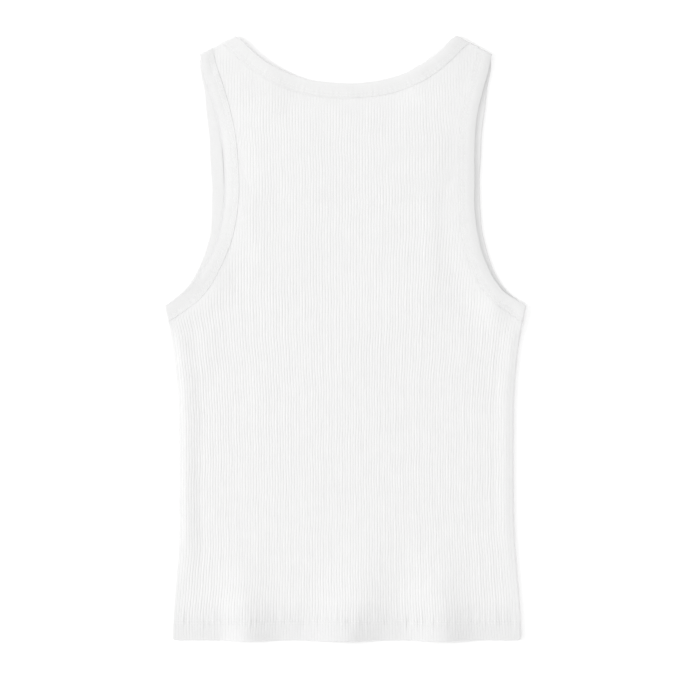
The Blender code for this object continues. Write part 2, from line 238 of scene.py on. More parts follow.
@dataclass(frozen=True)
class Cut:
    """The sizes that the pieces are cut to, how far they lie off them, and the curves through both."""

    length: float = 0.600
    gap: float = 0.0003
    wall: float = 0.0011
    rib_relief: float = 0.00028
    ribs_each_side: int = 63
    hem_depth: float = 0.020
    hem_corner: float = 0.004
    binding_width: float = 0.0148
    binding_thickness: float = 0.0020
    slot: float = 0.00158
    turn_length: float = 0.022
    bend_reach: float = 0.055
    bend_samples: int = 9
    bend_from: float = 0.50
    share_rounds: int = 6
    neck_point: tuple = (0.1095, 0.6003)
    shoulder_point: tuple = (0.1460, 0.5815)
    underarm_point: tuple = (0.1803, 0.3320)
    underarm_fold_to: tuple = (0.1762, 0.3150)
    underarm_fold_width: float = 0.0165
    shoulder_fold_width: float = 0.0143
    neck_fold_width: float = 0.0155
    line_points: int = 110
    side_seam: tuple = table(
        SideSeamRow,
        (0.000, 0.1730), (0.030, 0.1720), (0.060, 0.1698), (0.090, 0.1675), (0.120, 0.1662), (0.180, 0.1659),
        (0.235, 0.1665), (0.262, 0.1682), (0.285, 0.1707), (0.305, 0.1737), (0.320, 0.1776), (0.332, 0.1803),
    )
    armholes: tuple = table(
        ArmholeRow,
        (0.3400, 0.1690, 0.1668), (0.3480, 0.1600, 0.1562), (0.3600, 0.1518, 0.1466),
        (0.3740, 0.1452, 0.1394), (0.3900, 0.1397, 0.1328), (0.4100, 0.1360, 0.1272),
        (0.4400, 0.1343, 0.1234), (0.4700, 0.1348, 0.1232), (0.5000, 0.1362, 0.1252),
        (0.5250, 0.1388, 0.1302), (0.5480, 0.1418, 0.1368), (0.5670, 0.1450, 0.1428),
    )
    necklines: tuple = table(
        NeckRow,
        (0.0000, 0.4880, 0.5528), (0.0250, 0.4895, 0.5543), (0.0430, 0.4935, 0.5578),
        (0.0570, 0.5000, 0.5623), (0.0700, 0.5110, 0.5682), (0.0840, 0.5330, 0.5770),
        (0.0950, 0.5590, 0.5863), (0.1035, 0.5830, 0.5950),
    )
    shifts: tuple = table(
        ShiftRow,
        (0.000, 0.0012, 0.0000), (0.080, 0.0006, -0.0003), (0.140, 0.0020, -0.0006),
        (0.230, 0.0020, -0.0008), (0.290, 0.0026, -0.0012), (0.335, 0.0015, -0.0024),
        (0.360, 0.0010, -0.0022), (0.400, -0.0003, -0.0018), (0.440, 0.0002, -0.0026),
        (0.490, 0.0014, -0.0024), (0.550, 0.0010, -0.0022), (0.600, 0.0010, -0.0020),
    )
    shift_share: float = 0.85
    back_shifts: tuple = (-0.0022, 0.0066)
    back_shift_height: float = 0.460
    back_shift_reach: float = 0.060

    @property
    def fold_radius(self) -> float:
        """The radius at which a binding turns over: its own thickness and half a gap."""
        return self.binding_thickness + self.gap / 2

    @property
    def rib_pitch(self) -> float:
        """The width of one rib where the garment is widest."""
        return self.side_seam[-1].half_width / self.ribs_each_side

    @cached_property
    def underarm(self) -> Fold:
        """The fold of an armhole's binding at the underarm."""
        return Fold.between(self.underarm_point, self.underarm_fold_to, self.underarm_fold_width)

    @cached_property
    def shoulder(self) -> Fold:
        """The fold of an armhole's binding at the shoulder."""
        return Fold.between(self.shoulder_point, self.neck_point, self.shoulder_fold_width)

    @cached_property
    def neck(self) -> Fold:
        """The fold of the neck's binding at the shoulder."""
        return Fold.between(self.neck_point, self.shoulder_point, self.neck_fold_width)

    @cached_property
    def side_line(self) -> Array:
        """The side seam as a smooth line of heights and half widths."""
        return spline(self.side_seam)

    @cached_property
    def shift_line(self) -> Array:
        """The shifts as a smooth line of heights, left and right shifts."""
        return spline(self.shifts)

    @cached_property
    def edges(self) -> dict[tuple[Opening, Side], Array]:
        """The free edges of the armhole and of half the neck, on each side of the garment."""
        pairs = [(opening, side) for opening in Opening for side in Side]
        return {pair: self.edge(*pair, self.line_points) for pair in pairs}

    def laid(self, points: Array, on_back: Array | float) -> Array:
        """Points moved sideways as the garment lies, a little off its cut.

        The shift grows by a soft step from the middle to the sides. Half up the armholes the back lies
        further in than the front on the left and further out on the right, by a bell of the height.

        Args:
            points: Points of a piece, along the last axis.
            on_back: 1 for points of the back, 0 for those of the front.

        Returns:
            The moved points.
        """
        x, height = points[..., 0], points[..., 1] + self.length / 2
        apart = on_back * bell((height - self.back_shift_height) / self.back_shift_reach)
        heights, *shifts = self.shift_line.T
        left, right = (
            np.interp(height, heights, shift) + apart * more for shift, more in zip(shifts, self.back_shifts)
        )
        share = smooth(np.abs(x) / (self.shift_share * self.half_width(height)))
        moved = points.copy()
        moved[..., 0] += np.where(x < 0.0, -left, right) * share
        return moved

    def half_width(self, height: Array) -> Array:
        """Half the width between the side seams; above the underarm the ribs run straight on."""
        return np.interp(height, self.side_line[:, 0], self.side_line[:, 1])

    def spread(self, share: Array, height: Array) -> Array:
        """The half width that a rib's place is a share of.

        At the side seam it is the outline's own, and further in the outline's average over a span of
        heights, so that the ribs bend softly.

        Args:
            share: The shares of the way from the middle to the side seam.
            height: The heights.

        Returns:
            Half widths.
        """
        around = np.linspace(-self.bend_reach, self.bend_reach, self.bend_samples)
        soft = np.mean(self.half_width(height[..., None] + around), axis=-1)
        return mix(soft, self.half_width(height), smooth((share - self.bend_from) / (1.0 - self.bend_from)))

    def rib_share(self, x: Array, height: Array) -> Array:
        """The share of the way from the middle to the side seam, counted in ribs.

        It is the place across divided by the spread, which is itself taken from the last round's share.

        Args:
            x: Places on the right half.
            height: Their heights.

        Returns:
            Shares from 0 to 1.
        """
        share = x / self.half_width(height)
        for _ in range(self.share_rounds):
            share = x / self.spread(share, height)
        return share

    def shoulder_height(self, x: Array) -> Array:
        """Height of the shoulder line, level across the neck and beyond the shoulder's end."""
        return np.interp(np.abs(x), *zip(self.neck_point, self.shoulder_point))

    def axis_point(self, fold: Fold) -> Array:
        """Where a binding turns: one radius inside the outline."""
        return fold.corner + self.fold_radius * fold.inward

    def ends(self, opening: Opening) -> tuple[Fold | None, Fold]:
        """The folds at the two ends of an opening's edge; the neck's starts in the middle, without one."""
        return (self.underarm, self.shoulder) if opening is Opening.ARMHOLE else (None, self.neck)

    def edge(self, opening: Opening, side: Side, count: int) -> Array:
        """A free edge on the right half, from the underarm or the neck's middle to the shoulder.

        The neck's curve starts at a mirrored point, so that it is level in the middle.

        Args:
            opening: Which opening.
            side: Which side of the garment.
            count: How many points it gets.

        Returns:
            The points.
        """
        first, last = self.ends(opening)
        if opening is Opening.ARMHOLE:
            rows = [(getattr(row, side.value), row.height) for row in self.armholes]
            return evenly(spline([self.axis_point(first), *rows, self.axis_point(last)]), count)
        rows = [(row.half_width, getattr(row, side.value)) for row in self.necklines]
        line = spline([(-rows[1][0], rows[1][1]), *rows, self.axis_point(last)])
        middle = int(np.argmin(np.abs(line[:, 0])))
        return evenly(line[middle:], count)

    def across(self, edge: Array, ends: tuple[Fold | None, Fold]) -> tuple[Array, Array]:
        """The way across a binding at each point of its free edge.

        It is square to the edge, and swings to a fold's own direction, with the fold's own width, over
        the last turn_length before an end that has one.

        Args:
            edge: The free edge's points.
            ends: The folds at its first and last points.

        Returns:
            Unit directions towards the seam, and the binding's width along each.
        """
        tangents = unit(np.gradient(edge, axis=0))
        directions = np.column_stack([tangents[:, 1], -tangents[:, 0]])
        if directions[-1] @ ends[1].along < 0:
            directions = -directions
        run = run_along(edge)
        widths = np.full(len(edge), self.binding_width)
        for fold, distance in zip(ends, (run, run[-1] - run)):
            if fold is not None:
                share = 1.0 - smooth(distance / self.turn_length)
                directions = mix(directions, fold.along, share[:, None])
                widths = mix(widths, fold.width, share)
        return unit(directions), widths

    def panel_edge(self, opening: Opening, side: Side, tuck: float) -> Array:
        """The line that a panel is cut to at an opening.

        Args:
            opening: Which opening.
            side: Which side of the garment.
            tuck: How far the panel reaches under the binding.

        Returns:
            The line's points, with one more a fold's radius outwards at each end that has a fold.
        """
        ends = self.ends(opening)
        edge = self.edges[opening, side]
        directions, widths = self.across(edge, ends)
        line = edge + directions * (widths + self.gap - tuck)[:, None]
        corners = [end - self.fold_radius * fold.inward for end, fold in zip(line[[0, -1]], ends) if fold]
        return np.vstack([*corners[:-1], line, corners[-1]])


# ---------------------------------------------------------------- how the cloth lies


class Ripple(NamedTuple):
    """A sine that runs along the ribs and across them, at rates of its own."""

    along: float
    across: float
    start: float = 0.0

    def at(self, place: Array, height: Array) -> Array:
        """The sine of the height and the place across, each times its rate, and the start."""
        return np.sin(height * self.along + place * self.across + self.start)


class Crease(NamedTuple):
    """A soft ridge, or a trough where its rise is negative, along a straight line.

    It is centred at x and height, turned some degrees clockwise from the ribs' direction.
    """

    x: float
    height: float
    turn: float
    length: float
    width: float
    rise: float

    def at(self, x: Array, height: Array) -> Array:
        """Its height at some places: a bell across its line times a squared cosine along it.

        Args:
            x: The places across the garment.
            height: Their heights from the hem.

        Returns:
            What it adds there.
        """
        cosine, sine = math.cos(math.radians(self.turn)), math.sin(math.radians(self.turn))
        along = (x - self.x) * sine + (height - self.height) * cosine
        across = (x - self.x) * cosine - (height - self.height) * sine
        return self.rise * bell(across / self.width) * cosine_bump(2.0 * along / self.length)


class Swell(NamedTuple):
    """A broad, low rise with a flat top, soft on all its sides.

    It climbs from left to crest_left and falls from crest_right to right, and at its bottom and top
    over a height of its own.
    """

    left: float
    crest_left: float
    crest_right: float
    right: float
    bottom: float
    top: float
    over: float
    rise: float

    def at(self, x: Array, height: Array) -> Array:
        """Its height at some places: the product of the soft steps at its four sides.

        Args:
            x: The places across the garment.
            height: Their heights from the hem.

        Returns:
            What it adds there.
        """
        across = smooth((x - self.left) / (self.crest_left - self.left))
        across = across * smooth((self.right - x) / (self.right - self.crest_right))
        along = smooth((height - self.bottom) / self.over) * smooth((self.top - height) / self.over)
        return self.rise * across * along


class Flute(NamedTuple):
    """A soft fold that stands up at the hem, rising on its left, falling more steeply on its right."""

    centre: float
    lean: float
    height: float
    rise: float
    fall: float
    fade: float
    run_out: float = 0.80

    def at(self, x: Array, height: Array) -> Array:
        """Its height at some places: a squared cosine across, fading by a square upwards.

        The falling side starts steeply and runs out long, by a power of the distance from the crest.

        Args:
            x: The places across the garment.
            height: Their heights from the hem.

        Returns:
            What it adds there.
        """
        offset = x - self.centre - self.lean * height
        away = np.where(offset < 0, -offset / self.rise, np.abs(offset / self.fall) ** self.run_out)
        return self.height * cosine_bump(away) * np.clip(1.0 - height / self.fade, 0.0, 1.0) ** 2


class SideRidge(NamedTuple):
    """A low ridge along a side seam: its rise, and how far inside the seam its crest and its foot are."""

    rise: float
    crest: float
    foot: float


@dataclass(frozen=True)
class BackLie:
    """How the back lies over the front: its flutes, sags, ridges, creases and swells."""

    cut: Cut
    upper_lift: float = 0.0014
    upper_lift_from: float = 0.425
    upper_lift_over: float = 0.045
    neck_sag: float = 0.0015
    neck_sag_from: float = 0.505
    neck_sag_over: float = 0.035
    neck_sag_half: float = 0.045
    neck_sag_edge: float = 0.035
    band_sag_share: float = 1.15
    armhole_slope: float = 0.024
    side_ridges: tuple = table(SideRidge, (0.0011, 0.0090, 0.0270), (0.0007, 0.0080, 0.0200))
    side_ridge_top: float = 0.300
    side_ridge_base: float = 0.030
    side_ridge_base_over: float = 0.100
    flutes: tuple = table(
        Flute,
        (-0.097, -0.08, 0.0050, 0.031, 0.036, 0.120),
        (0.000, 0.30, 0.0062, 0.054, 0.040, 0.135),
        (0.097, -0.06, 0.0062, 0.046, 0.038, 0.130),
    )
    creases: tuple = table(
        Crease,
        (-0.152, 0.338, 54.0, 0.080, 0.0080, -0.0010),
        (-0.158, 0.350, 54.0, 0.070, 0.0045, 0.0008),
        (0.158, 0.334, -50.0, 0.056, 0.0060, -0.0006),
        (0.148, 0.326, -8.0, 0.060, 0.0120, 0.0014),
        (-0.145, 0.135, -1.0, 0.260, 0.0070, -0.0004),
        (-0.137, 0.290, 8.0, 0.075, 0.0130, 0.0006),
        (-0.094, 0.420, 2.0, 0.170, 0.0120, 0.0005),
        (0.084, 0.400, -3.0, 0.130, 0.0110, 0.0007),
        (-0.084, 0.250, 5.0, 0.080, 0.0110, 0.0003),
        (-0.132, 0.570, 12.0, 0.034, 0.0045, -0.0005),
        (-0.128, 0.591, 63.0, 0.080, 0.0080, -0.0004),
        (0.128, 0.591, -63.0, 0.080, 0.0090, -0.0004),
        (0.099, 0.590, 38.0, 0.074, 0.0120, 0.0012),
        (0.064, 0.568, 65.0, 0.090, 0.0100, 0.0009),
        (-0.110, 0.480, 1.0, 0.220, 0.0120, 0.0006),
    )
    swells: tuple = table(
        Swell,
        (-0.128, -0.083, -0.050, 0.100, 0.350, 0.545, 0.035, 0.0025),
        (-0.030, 0.070, 0.078, 0.121, 0.295, 0.530, 0.050, 0.0017),
        (-0.100, 0.080, 0.100, 0.148, 0.540, 0.606, 0.030, 0.0020),
    )

    def unevenness(self, x: Array, height: Array) -> Array:
        """What the creases and the swells add, on the panel and the bindings alike."""
        return sum(form.at(x, height) for form in self.creases + self.swells)

    def sag(self, x: Array) -> Array:
        """How deep the back sinks into the front's neck opening, across the garment."""
        return self.neck_sag * (1.0 - smooth((np.abs(x) - self.neck_sag_half) / self.neck_sag_edge))

    def ridge(self, x: Array, height: Array) -> Array:
        """The ridges along the side seams: for each a soft step up and one down, inwards and upwards.

        Args:
            x: The places across the garment.
            height: Their heights from the hem.

        Returns:
            What the ridges add there.
        """
        from_side = self.cut.half_width(height) - np.abs(x)
        rise, crest, foot = (np.where(x < 0.0, *pair) for pair in zip(*self.side_ridges))
        ridge = rise * smooth(from_side / crest) * (1.0 - smooth((from_side - crest) / (foot - crest)))
        ridge *= smooth((height - self.side_ridge_base) / self.side_ridge_base_over)
        return ridge * (1.0 - smooth((height - self.side_ridge_top) / self.armhole_slope))

    def inner_height(self, x: Array, height: Array) -> Array:
        """Height of the back's inside over the floor: the front's wall and a gap, and what lifts it.

        The lift is the largest of soft steps towards the armhole and the top and of the side ridges,
        less the sag at the neck. The highest of the flutes, the creases and the swells add to it.

        Args:
            x: The places across the garment.
            height: Their heights from the hem.

        Returns:
            Heights of the cloth's lower face.
        """
        cut = self.cut
        from_seam = distance_to_line(x, height, cut.edges[Opening.ARMHOLE, Side.BACK]) - cut.binding_width
        at_armhole = self.upper_lift * (1.0 - smooth(from_seam / self.armhole_slope))
        at_top = self.upper_lift * smooth((height - self.upper_lift_from) / self.upper_lift_over)
        rise = np.maximum(np.maximum(at_armhole, at_top), self.ridge(x, height))
        rise -= self.sag(x) * smooth((height - self.neck_sag_from) / self.neck_sag_over)
        rise += np.max([flute.at(x, height) for flute in self.flutes], axis=0) + self.unevenness(x, height)
        return cut.wall + cut.gap + rise


# ---------------------------------------------------------------- meshes


def grid_corners(values: Array) -> Array:
    """The four corners of each cell of a grid, anticlockwise, along a new third axis."""
    return np.stack([values[:-1, :-1], values[:-1, 1:], values[1:, 1:], values[1:, :-1]], axis=2)


class Mesher:
    """Gathers points, faces and pattern coordinates, and makes one closed mesh of them."""

    def __init__(self) -> None:
        """Starts with nothing."""
        self.points: list[Array] = []
        self.faces: list[Array] = []
        self.patterns: list[Array] = []
        self.count = 0

    def add_points(self, points: Array) -> Array:
        """Adds points of any grid shape.

        Args:
            points: Their coordinates, along the last axis.

        Returns:
            Their numbers, in the same grid shape.
        """
        shape = points.shape[:-1]
        number = math.prod(shape)
        self.points.append(points.reshape(-1, 3))
        self.count += number
        return np.arange(self.count - number, self.count).reshape(shape)

    def add_faces(self, faces: Array, patterns: Array) -> None:
        """Adds faces of one number of sides, with a pattern coordinate for each corner."""
        self.faces.append(faces)
        self.patterns.append(patterns)

    def add_grid(self, index: Array, pattern: Array) -> None:
        """Adds the four-sided faces between neighbours of a grid of point numbers."""
        self.add_faces(grid_corners(index).reshape(-1, 4), grid_corners(pattern).reshape(-1, 4, 2))

    def add_rim(self, fine: Array, coarse: Array, pattern: Array) -> None:
        """Joins the edge of one sheet to the edge of a coarser one that lies along it.

        Args:
            fine: Point numbers along the first edge, a whole number of steps for each of the other's.
            coarse: Point numbers along the other edge.
            pattern: Pattern coordinates along the first edge.
        """
        spans = len(coarse) - 1
        step = (len(fine) - 1) // spans
        picks = np.arange(spans)[:, None] * step + np.arange(step, -1, -1)
        faces = np.hstack([coarse[:-1, None], coarse[1:, None], fine[picks]])
        near, far = pattern[:-1:step][:, None], pattern[step::step][:, None]
        self.add_faces(faces, np.hstack([near, far, pattern[picks]]))

    def turned_in(self, points: Array) -> bool:
        """Whether the faces point inwards, because the volume that they enclose comes out negative.

        Args:
            points: All the points.

        Returns:
            True where each face has to be turned over.
        """
        volume = 0.0
        for faces in self.faces:
            for side in range(1, faces.shape[1] - 1):
                a, b, c = (points[faces[:, corner]] for corner in (0, side, side + 1))
                volume += float(np.sum(a * np.cross(b, c)))
        return volume < 0.0

    def mesh(self, name: str) -> bpy.types.Mesh:
        """Makes the mesh of all that was added.

        Args:
            name: The mesh's name.

        Returns:
            The mesh, shaded smooth, its faces turned outwards, with its pattern as a UV map.
        """
        points = np.vstack(self.points)
        step = -1 if self.turned_in(points) else 1
        made = bpy.data.meshes.new(name)
        rows = [row for faces in self.faces for row in faces[:, ::step].tolist()]
        made.from_pydata(points.tolist(), [], rows)
        layer = made.uv_layers.new(name="knit")
        coordinates = [pattern[:, ::step].reshape(-1) for pattern in self.patterns]
        layer.uv.foreach_set("vector", np.concatenate(coordinates).astype(np.float32))
        made.shade_smooth()
        return made


def add_object(name: str, data: bpy.types.ID) -> bpy.types.Object:
    """Adds an object to the scene.

    Args:
        name: Its name.
        data: Its mesh, light or camera.

    Returns:
        The object.
    """
    added = bpy.data.objects.new(name, data)
    bpy.context.scene.collection.objects.link(added)
    return added


def add_piece(name: str, mesh: bpy.types.Mesh, material: bpy.types.Material) -> bpy.types.Object:
    """Adds a piece that rides on the garment's body and takes its finish from a slot.

    Args:
        name: The piece's name.
        mesh: Its mesh, where it belongs.
        material: Its finish.

    Returns:
        The piece's object.
    """
    mesh.materials.append(material)
    piece = add_object(name, mesh)
    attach(piece, BODY)
    log.info("%s: %d faces", name, len(mesh.polygons))
    return piece


# ---------------------------------------------------------------- finishes


class Number:
    """A number on a shader socket; sums, products and powers of it add Math nodes."""

    def __init__(self, shader: "Shader", socket: bpy.types.NodeSocket) -> None:
        """Wraps a socket of a shader's nodes."""
        self.shader = shader
        self.socket = socket

    def math(self, operation: str, *others: "Number | float", swapped: bool = False) -> "Number":
        """Adds a Math node.

        Args:
            operation: What it works out.
            others: The numbers after this one.
            swapped: Whether all of them go in reverse order.

        Returns:
            The result.
        """
        values = (self, *others)[:: -1 if swapped else 1]
        sockets = {("Value", "Value_001", "Value_002")[place]: value for place, value in enumerate(values)}
        return self.shader.add("ShaderNodeMath", {"operation": operation}, sockets, "Value")

    def __add__(self, other: "Number | float") -> "Number":
        """The sum."""
        return self.math("ADD", other)

    __radd__ = __add__

    def __mul__(self, other: "Number | float") -> "Number":
        """The product."""
        return self.math("MULTIPLY", other)

    __rmul__ = __mul__

    def __sub__(self, other: "Number | float") -> "Number":
        """The difference."""
        return self.math("SUBTRACT", other)

    def __rsub__(self, other: float) -> "Number":
        """The difference from a plain number."""
        return self.math("SUBTRACT", other, swapped=True)

    def __pow__(self, other: float) -> "Number":
        """The power."""
        return self.math("POWER", other)

    def __abs__(self) -> "Number":
        """The size without its sign."""
        return self.math("ABSOLUTE")

    def from_middle(self) -> "Number":
        """How far it is from the middle between two whole numbers: 0 there, and 1 on either of them."""
        return abs(self.math("FRACT") - 0.5) * 2.0

    def turned(self) -> "Number":
        """The cosine of so many full turns."""
        return (self * (2.0 * math.pi)).math("COSINE")

    def clamped(self) -> "Number":
        """It, or 0 where it is below 0 and 1 where it is above 1."""
        return self.math("MAXIMUM", 0.0).math("MINIMUM", 1.0)


class Shader:
    """One material's nodes, with a Principled shader."""

    def __init__(self, name: str) -> None:
        """Makes the material, empty.

        Args:
            name: Its name.
        """
        self.material = bpy.data.materials.new(name)
        self.material.use_nodes = True
        self.nodes = self.material.node_tree.nodes
        self.nodes.clear()

    def add(
        self, kind: str, settings: Mapping, sockets: Mapping, output: str | None = None
    ) -> Number | bpy.types.Node:
        """Adds a node.

        Args:
            kind: Its type.
            settings: Its settings, which are set first.
            sockets: The value or link of each input, under the input's identifier.
            output: The identifier of an output.

        Returns:
            The output as a number, or the node where no output is named.
        """
        node = self.nodes.new(kind)
        for name, value in settings.items():
            setattr(node, name, value)
        inputs = {socket.identifier: socket for socket in node.inputs}
        for name, value in sockets.items():
            if isinstance(value, Number):
                self.material.node_tree.links.new(value.socket, inputs[name])
            else:
                inputs[name].default_value = value
        if output is None:
            return node
        return Number(self, next(socket for socket in node.outputs if socket.identifier == output))

    def pattern(self) -> tuple[Number, Number]:
        """Reads the piece's own pattern coordinates.

        Returns:
            The ones across and along its ribs or its strip.
        """
        where = self.add("ShaderNodeUVMap", {"uv_map": "knit"}, {}, "UV")
        split = self.add("ShaderNodeSeparateXYZ", {}, {"Vector": where})
        return Number(self, split.outputs["X"]), Number(self, split.outputs["Y"])

    def attribute(self, name: str) -> Number:
        """A number that the piece's mesh holds at its points."""
        return self.add("ShaderNodeAttribute", {"attribute_name": name}, {}, "Fac")

    def noise(self, scale: float, detail: float) -> Number:
        """Adds noise that is fixed to the piece.

        Args:
            scale: How many features it has to the metre.
            detail: How many finer layers it has.

        Returns:
            The noise, around 0.
        """
        where = self.add("ShaderNodeTexCoord", {}, {}, "Object")
        sockets = {"Vector": where, "Scale": scale, "Detail": detail}
        return self.add("ShaderNodeTexNoise", {}, sockets, "Fac") - 0.5

    def blend(self, share: Number, a: tuple, b: tuple) -> Number:
        """Mixes two colours in proportion, and on in the same proportion beyond both.

        Args:
            share: How far to go from a to b.
            a: The colour where share is 0.
            b: The colour where it is 1.

        Returns:
            The mixed colour.
        """
        settings = {"data_type": "RGBA", "clamp_factor": False}
        sockets = {"Factor_Float": share, "A_Color": a, "B_Color": b}
        return self.add("ShaderNodeMix", settings, sockets, "Result_Color")

    def finish(self, sockets: Mapping, height: Number, depth: float) -> bpy.types.Material:
        """Ends the material in a Principled shader with a raised pattern.

        Args:
            sockets: The Principled shader's inputs.
            height: The pattern's height, from 0 to 1.
            depth: How far 1 stands out, in metres.

        Returns:
            The material.
        """
        raised = {"Height": height, "Distance": depth, "Strength": 1.0}
        bump = self.add("ShaderNodeBump", {}, raised, "Normal")
        shader = self.add("ShaderNodeBsdfPrincipled", {}, {**sockets, "Normal": bump}, "BSDF")
        self.add("ShaderNodeOutputMaterial", {}, {"Surface": shader})
        return self.material


@dataclass(frozen=True)
class Knit:
    """Cotton knit: columns of V-shaped stitches, a soft nap and a little unevenness in its white.

    The pattern coordinate across counts ribs, or rib widths, and the one along has the same unit.
    """

    name: str
    light: tuple = (0.787, 0.787, 0.785, 1.0)
    dark: tuple = (0.698, 0.698, 0.701, 1.0)
    roughness: float = 0.92
    wales: float = 2.0
    courses: float = 3.2
    slant: float = 0.55
    stitch_wave: float = 0.3
    stitch_depth: float = 0.00012
    # painted shade: how much darker the cloth is between stitches, where the stitch bump is low
    painted_stitch_shade: float = 0.3
    nap: float = 0.45
    nap_scale: float = 1500.0
    nap_detail: float = 2.0
    nap_shade: float = 0.2
    mottle: float = 0.35
    mottle_scale: float = 70.0
    mottle_detail: float = 3.0
    ribbed: bool = True
    # painted shade: how much darker the furrows between ribs are
    painted_furrow_shade: float = 0.22
    furrow_power: float = 4.0
    hem_end: float = 14.0
    hem_fade: float = 0.12
    # painted shade: how much darker the turned-up hem is, fading out above it by hem_fade
    painted_hem_shade: float = 0.36
    soak: float = 0.45
    soak_depth: float = 0.0012

    def material(self) -> bpy.types.Material:
        """The finish: paler on crests and stitches, darker in furrows and between stitches.

        A stitch's height is one less the square of the distance from its column's middle, times a cosine
        that runs along the column, later towards its edges, so that it draws a row of Vs. Where a stitch is
        low the colour is darker, as painted shade between stitches. Rib knit gets painted shade by a power
        of the way from crest to furrow and in its hem, and plain knit a strip of painted shade where its mesh
        says.

        Returns:
            The material.
        """
        shader = Shader(self.name)
        across, along = shader.pattern()
        from_wale = (across * self.wales).from_middle()
        wave = (along * self.courses + from_wale * self.slant).turned()
        stitch = (1.0 - from_wale**2.0) * (wave * self.stitch_wave + (1.0 - self.stitch_wave))
        nap = shader.noise(self.nap_scale, self.nap_detail)
        mottle = shader.noise(self.mottle_scale, self.mottle_detail)
        # painted shade between stitches, with the random mottle and nap tones
        shade = (1.0 - stitch) * self.painted_stitch_shade + mottle * self.mottle + nap * self.nap_shade
        if self.ribbed:
            # painted shade: darker towards each furrow by a power, and in the turned-up hem
            in_hem = ((self.hem_end - along) * self.hem_fade).clamped()
            in_furrow = (across + 0.5).from_middle() ** self.furrow_power
            shade = shade + in_furrow * self.painted_furrow_shade + in_hem * self.painted_hem_shade
        else:
            # painted shade along the bindings' edges, read from the mesh's attribute
            shade = shade + shader.attribute("shade")
        sockets = {
            "Base Color": shader.blend(shade, self.light, self.dark),
            "Roughness": self.roughness,
            "Specular IOR Level": 0.0,
            "Subsurface Weight": self.soak,
            "Subsurface Radius": (1.0, 1.0, 1.0),
            "Subsurface Scale": self.soak_depth,
        }
        return shader.finish(sockets, stitch + nap * self.nap, self.stitch_depth)


@dataclass(frozen=True)
class Thread:
    """Sewing thread: two plies twisted round each other."""

    name: str = "sewing_thread"
    light: tuple = (0.85, 0.85, 0.848, 1.0)
    dark: tuple = (0.70, 0.70, 0.70, 1.0)
    roughness: float = 0.7
    sheen: float = 0.05
    ply_depth: float = 0.00004
    ply_shade: float = 0.12

    def material(self) -> bpy.types.Material:
        """The finish: slanting ridges along the thread, from a cosine of both pattern coordinates.

        Returns:
            The material.
        """
        shader = Shader(self.name)
        across, along = shader.pattern()
        ply = (across + along).turned() * 0.5 + 0.5
        colour = shader.blend(ply * self.ply_shade, self.light, self.dark)
        sockets = {"Base Color": colour, "Roughness": self.roughness, "Sheen Weight": self.sheen}
        return shader.finish(sockets, ply, self.ply_depth)


@dataclass(frozen=True)
class Paper:
    """The pale floor's finish, with the faintest of grains."""

    name: str = "pale_floor"
    colour: tuple = (0.985, 0.985, 0.985, 1.0)
    roughness: float = 0.9
    grain_scale: float = 40.0
    grain_detail: float = 2.0
    grain_depth: float = 0.00001

    def material(self) -> bpy.types.Material:
        """The finish: one colour, raised a little by noise.

        Returns:
            The material.
        """
        shader = Shader(self.name)
        grain = shader.noise(self.grain_scale, self.grain_detail) + 0.5
        sockets = {"Base Color": self.colour, "Roughness": self.roughness}
        return shader.finish(sockets, grain, self.grain_depth)


# ---------------------------------------------------------------- the two panels


class Grid(NamedTuple):
    """Places of a panel's points, as rows along the ribs by columns across them."""

    ribs: Array
    x: Array
    height: Array

    def picked(self, row_step: int, column_step: int) -> "Grid":
        """Every row_step-th row of the places and column_step-th column."""
        return Grid(*(values[::row_step, ::column_step] for values in self))


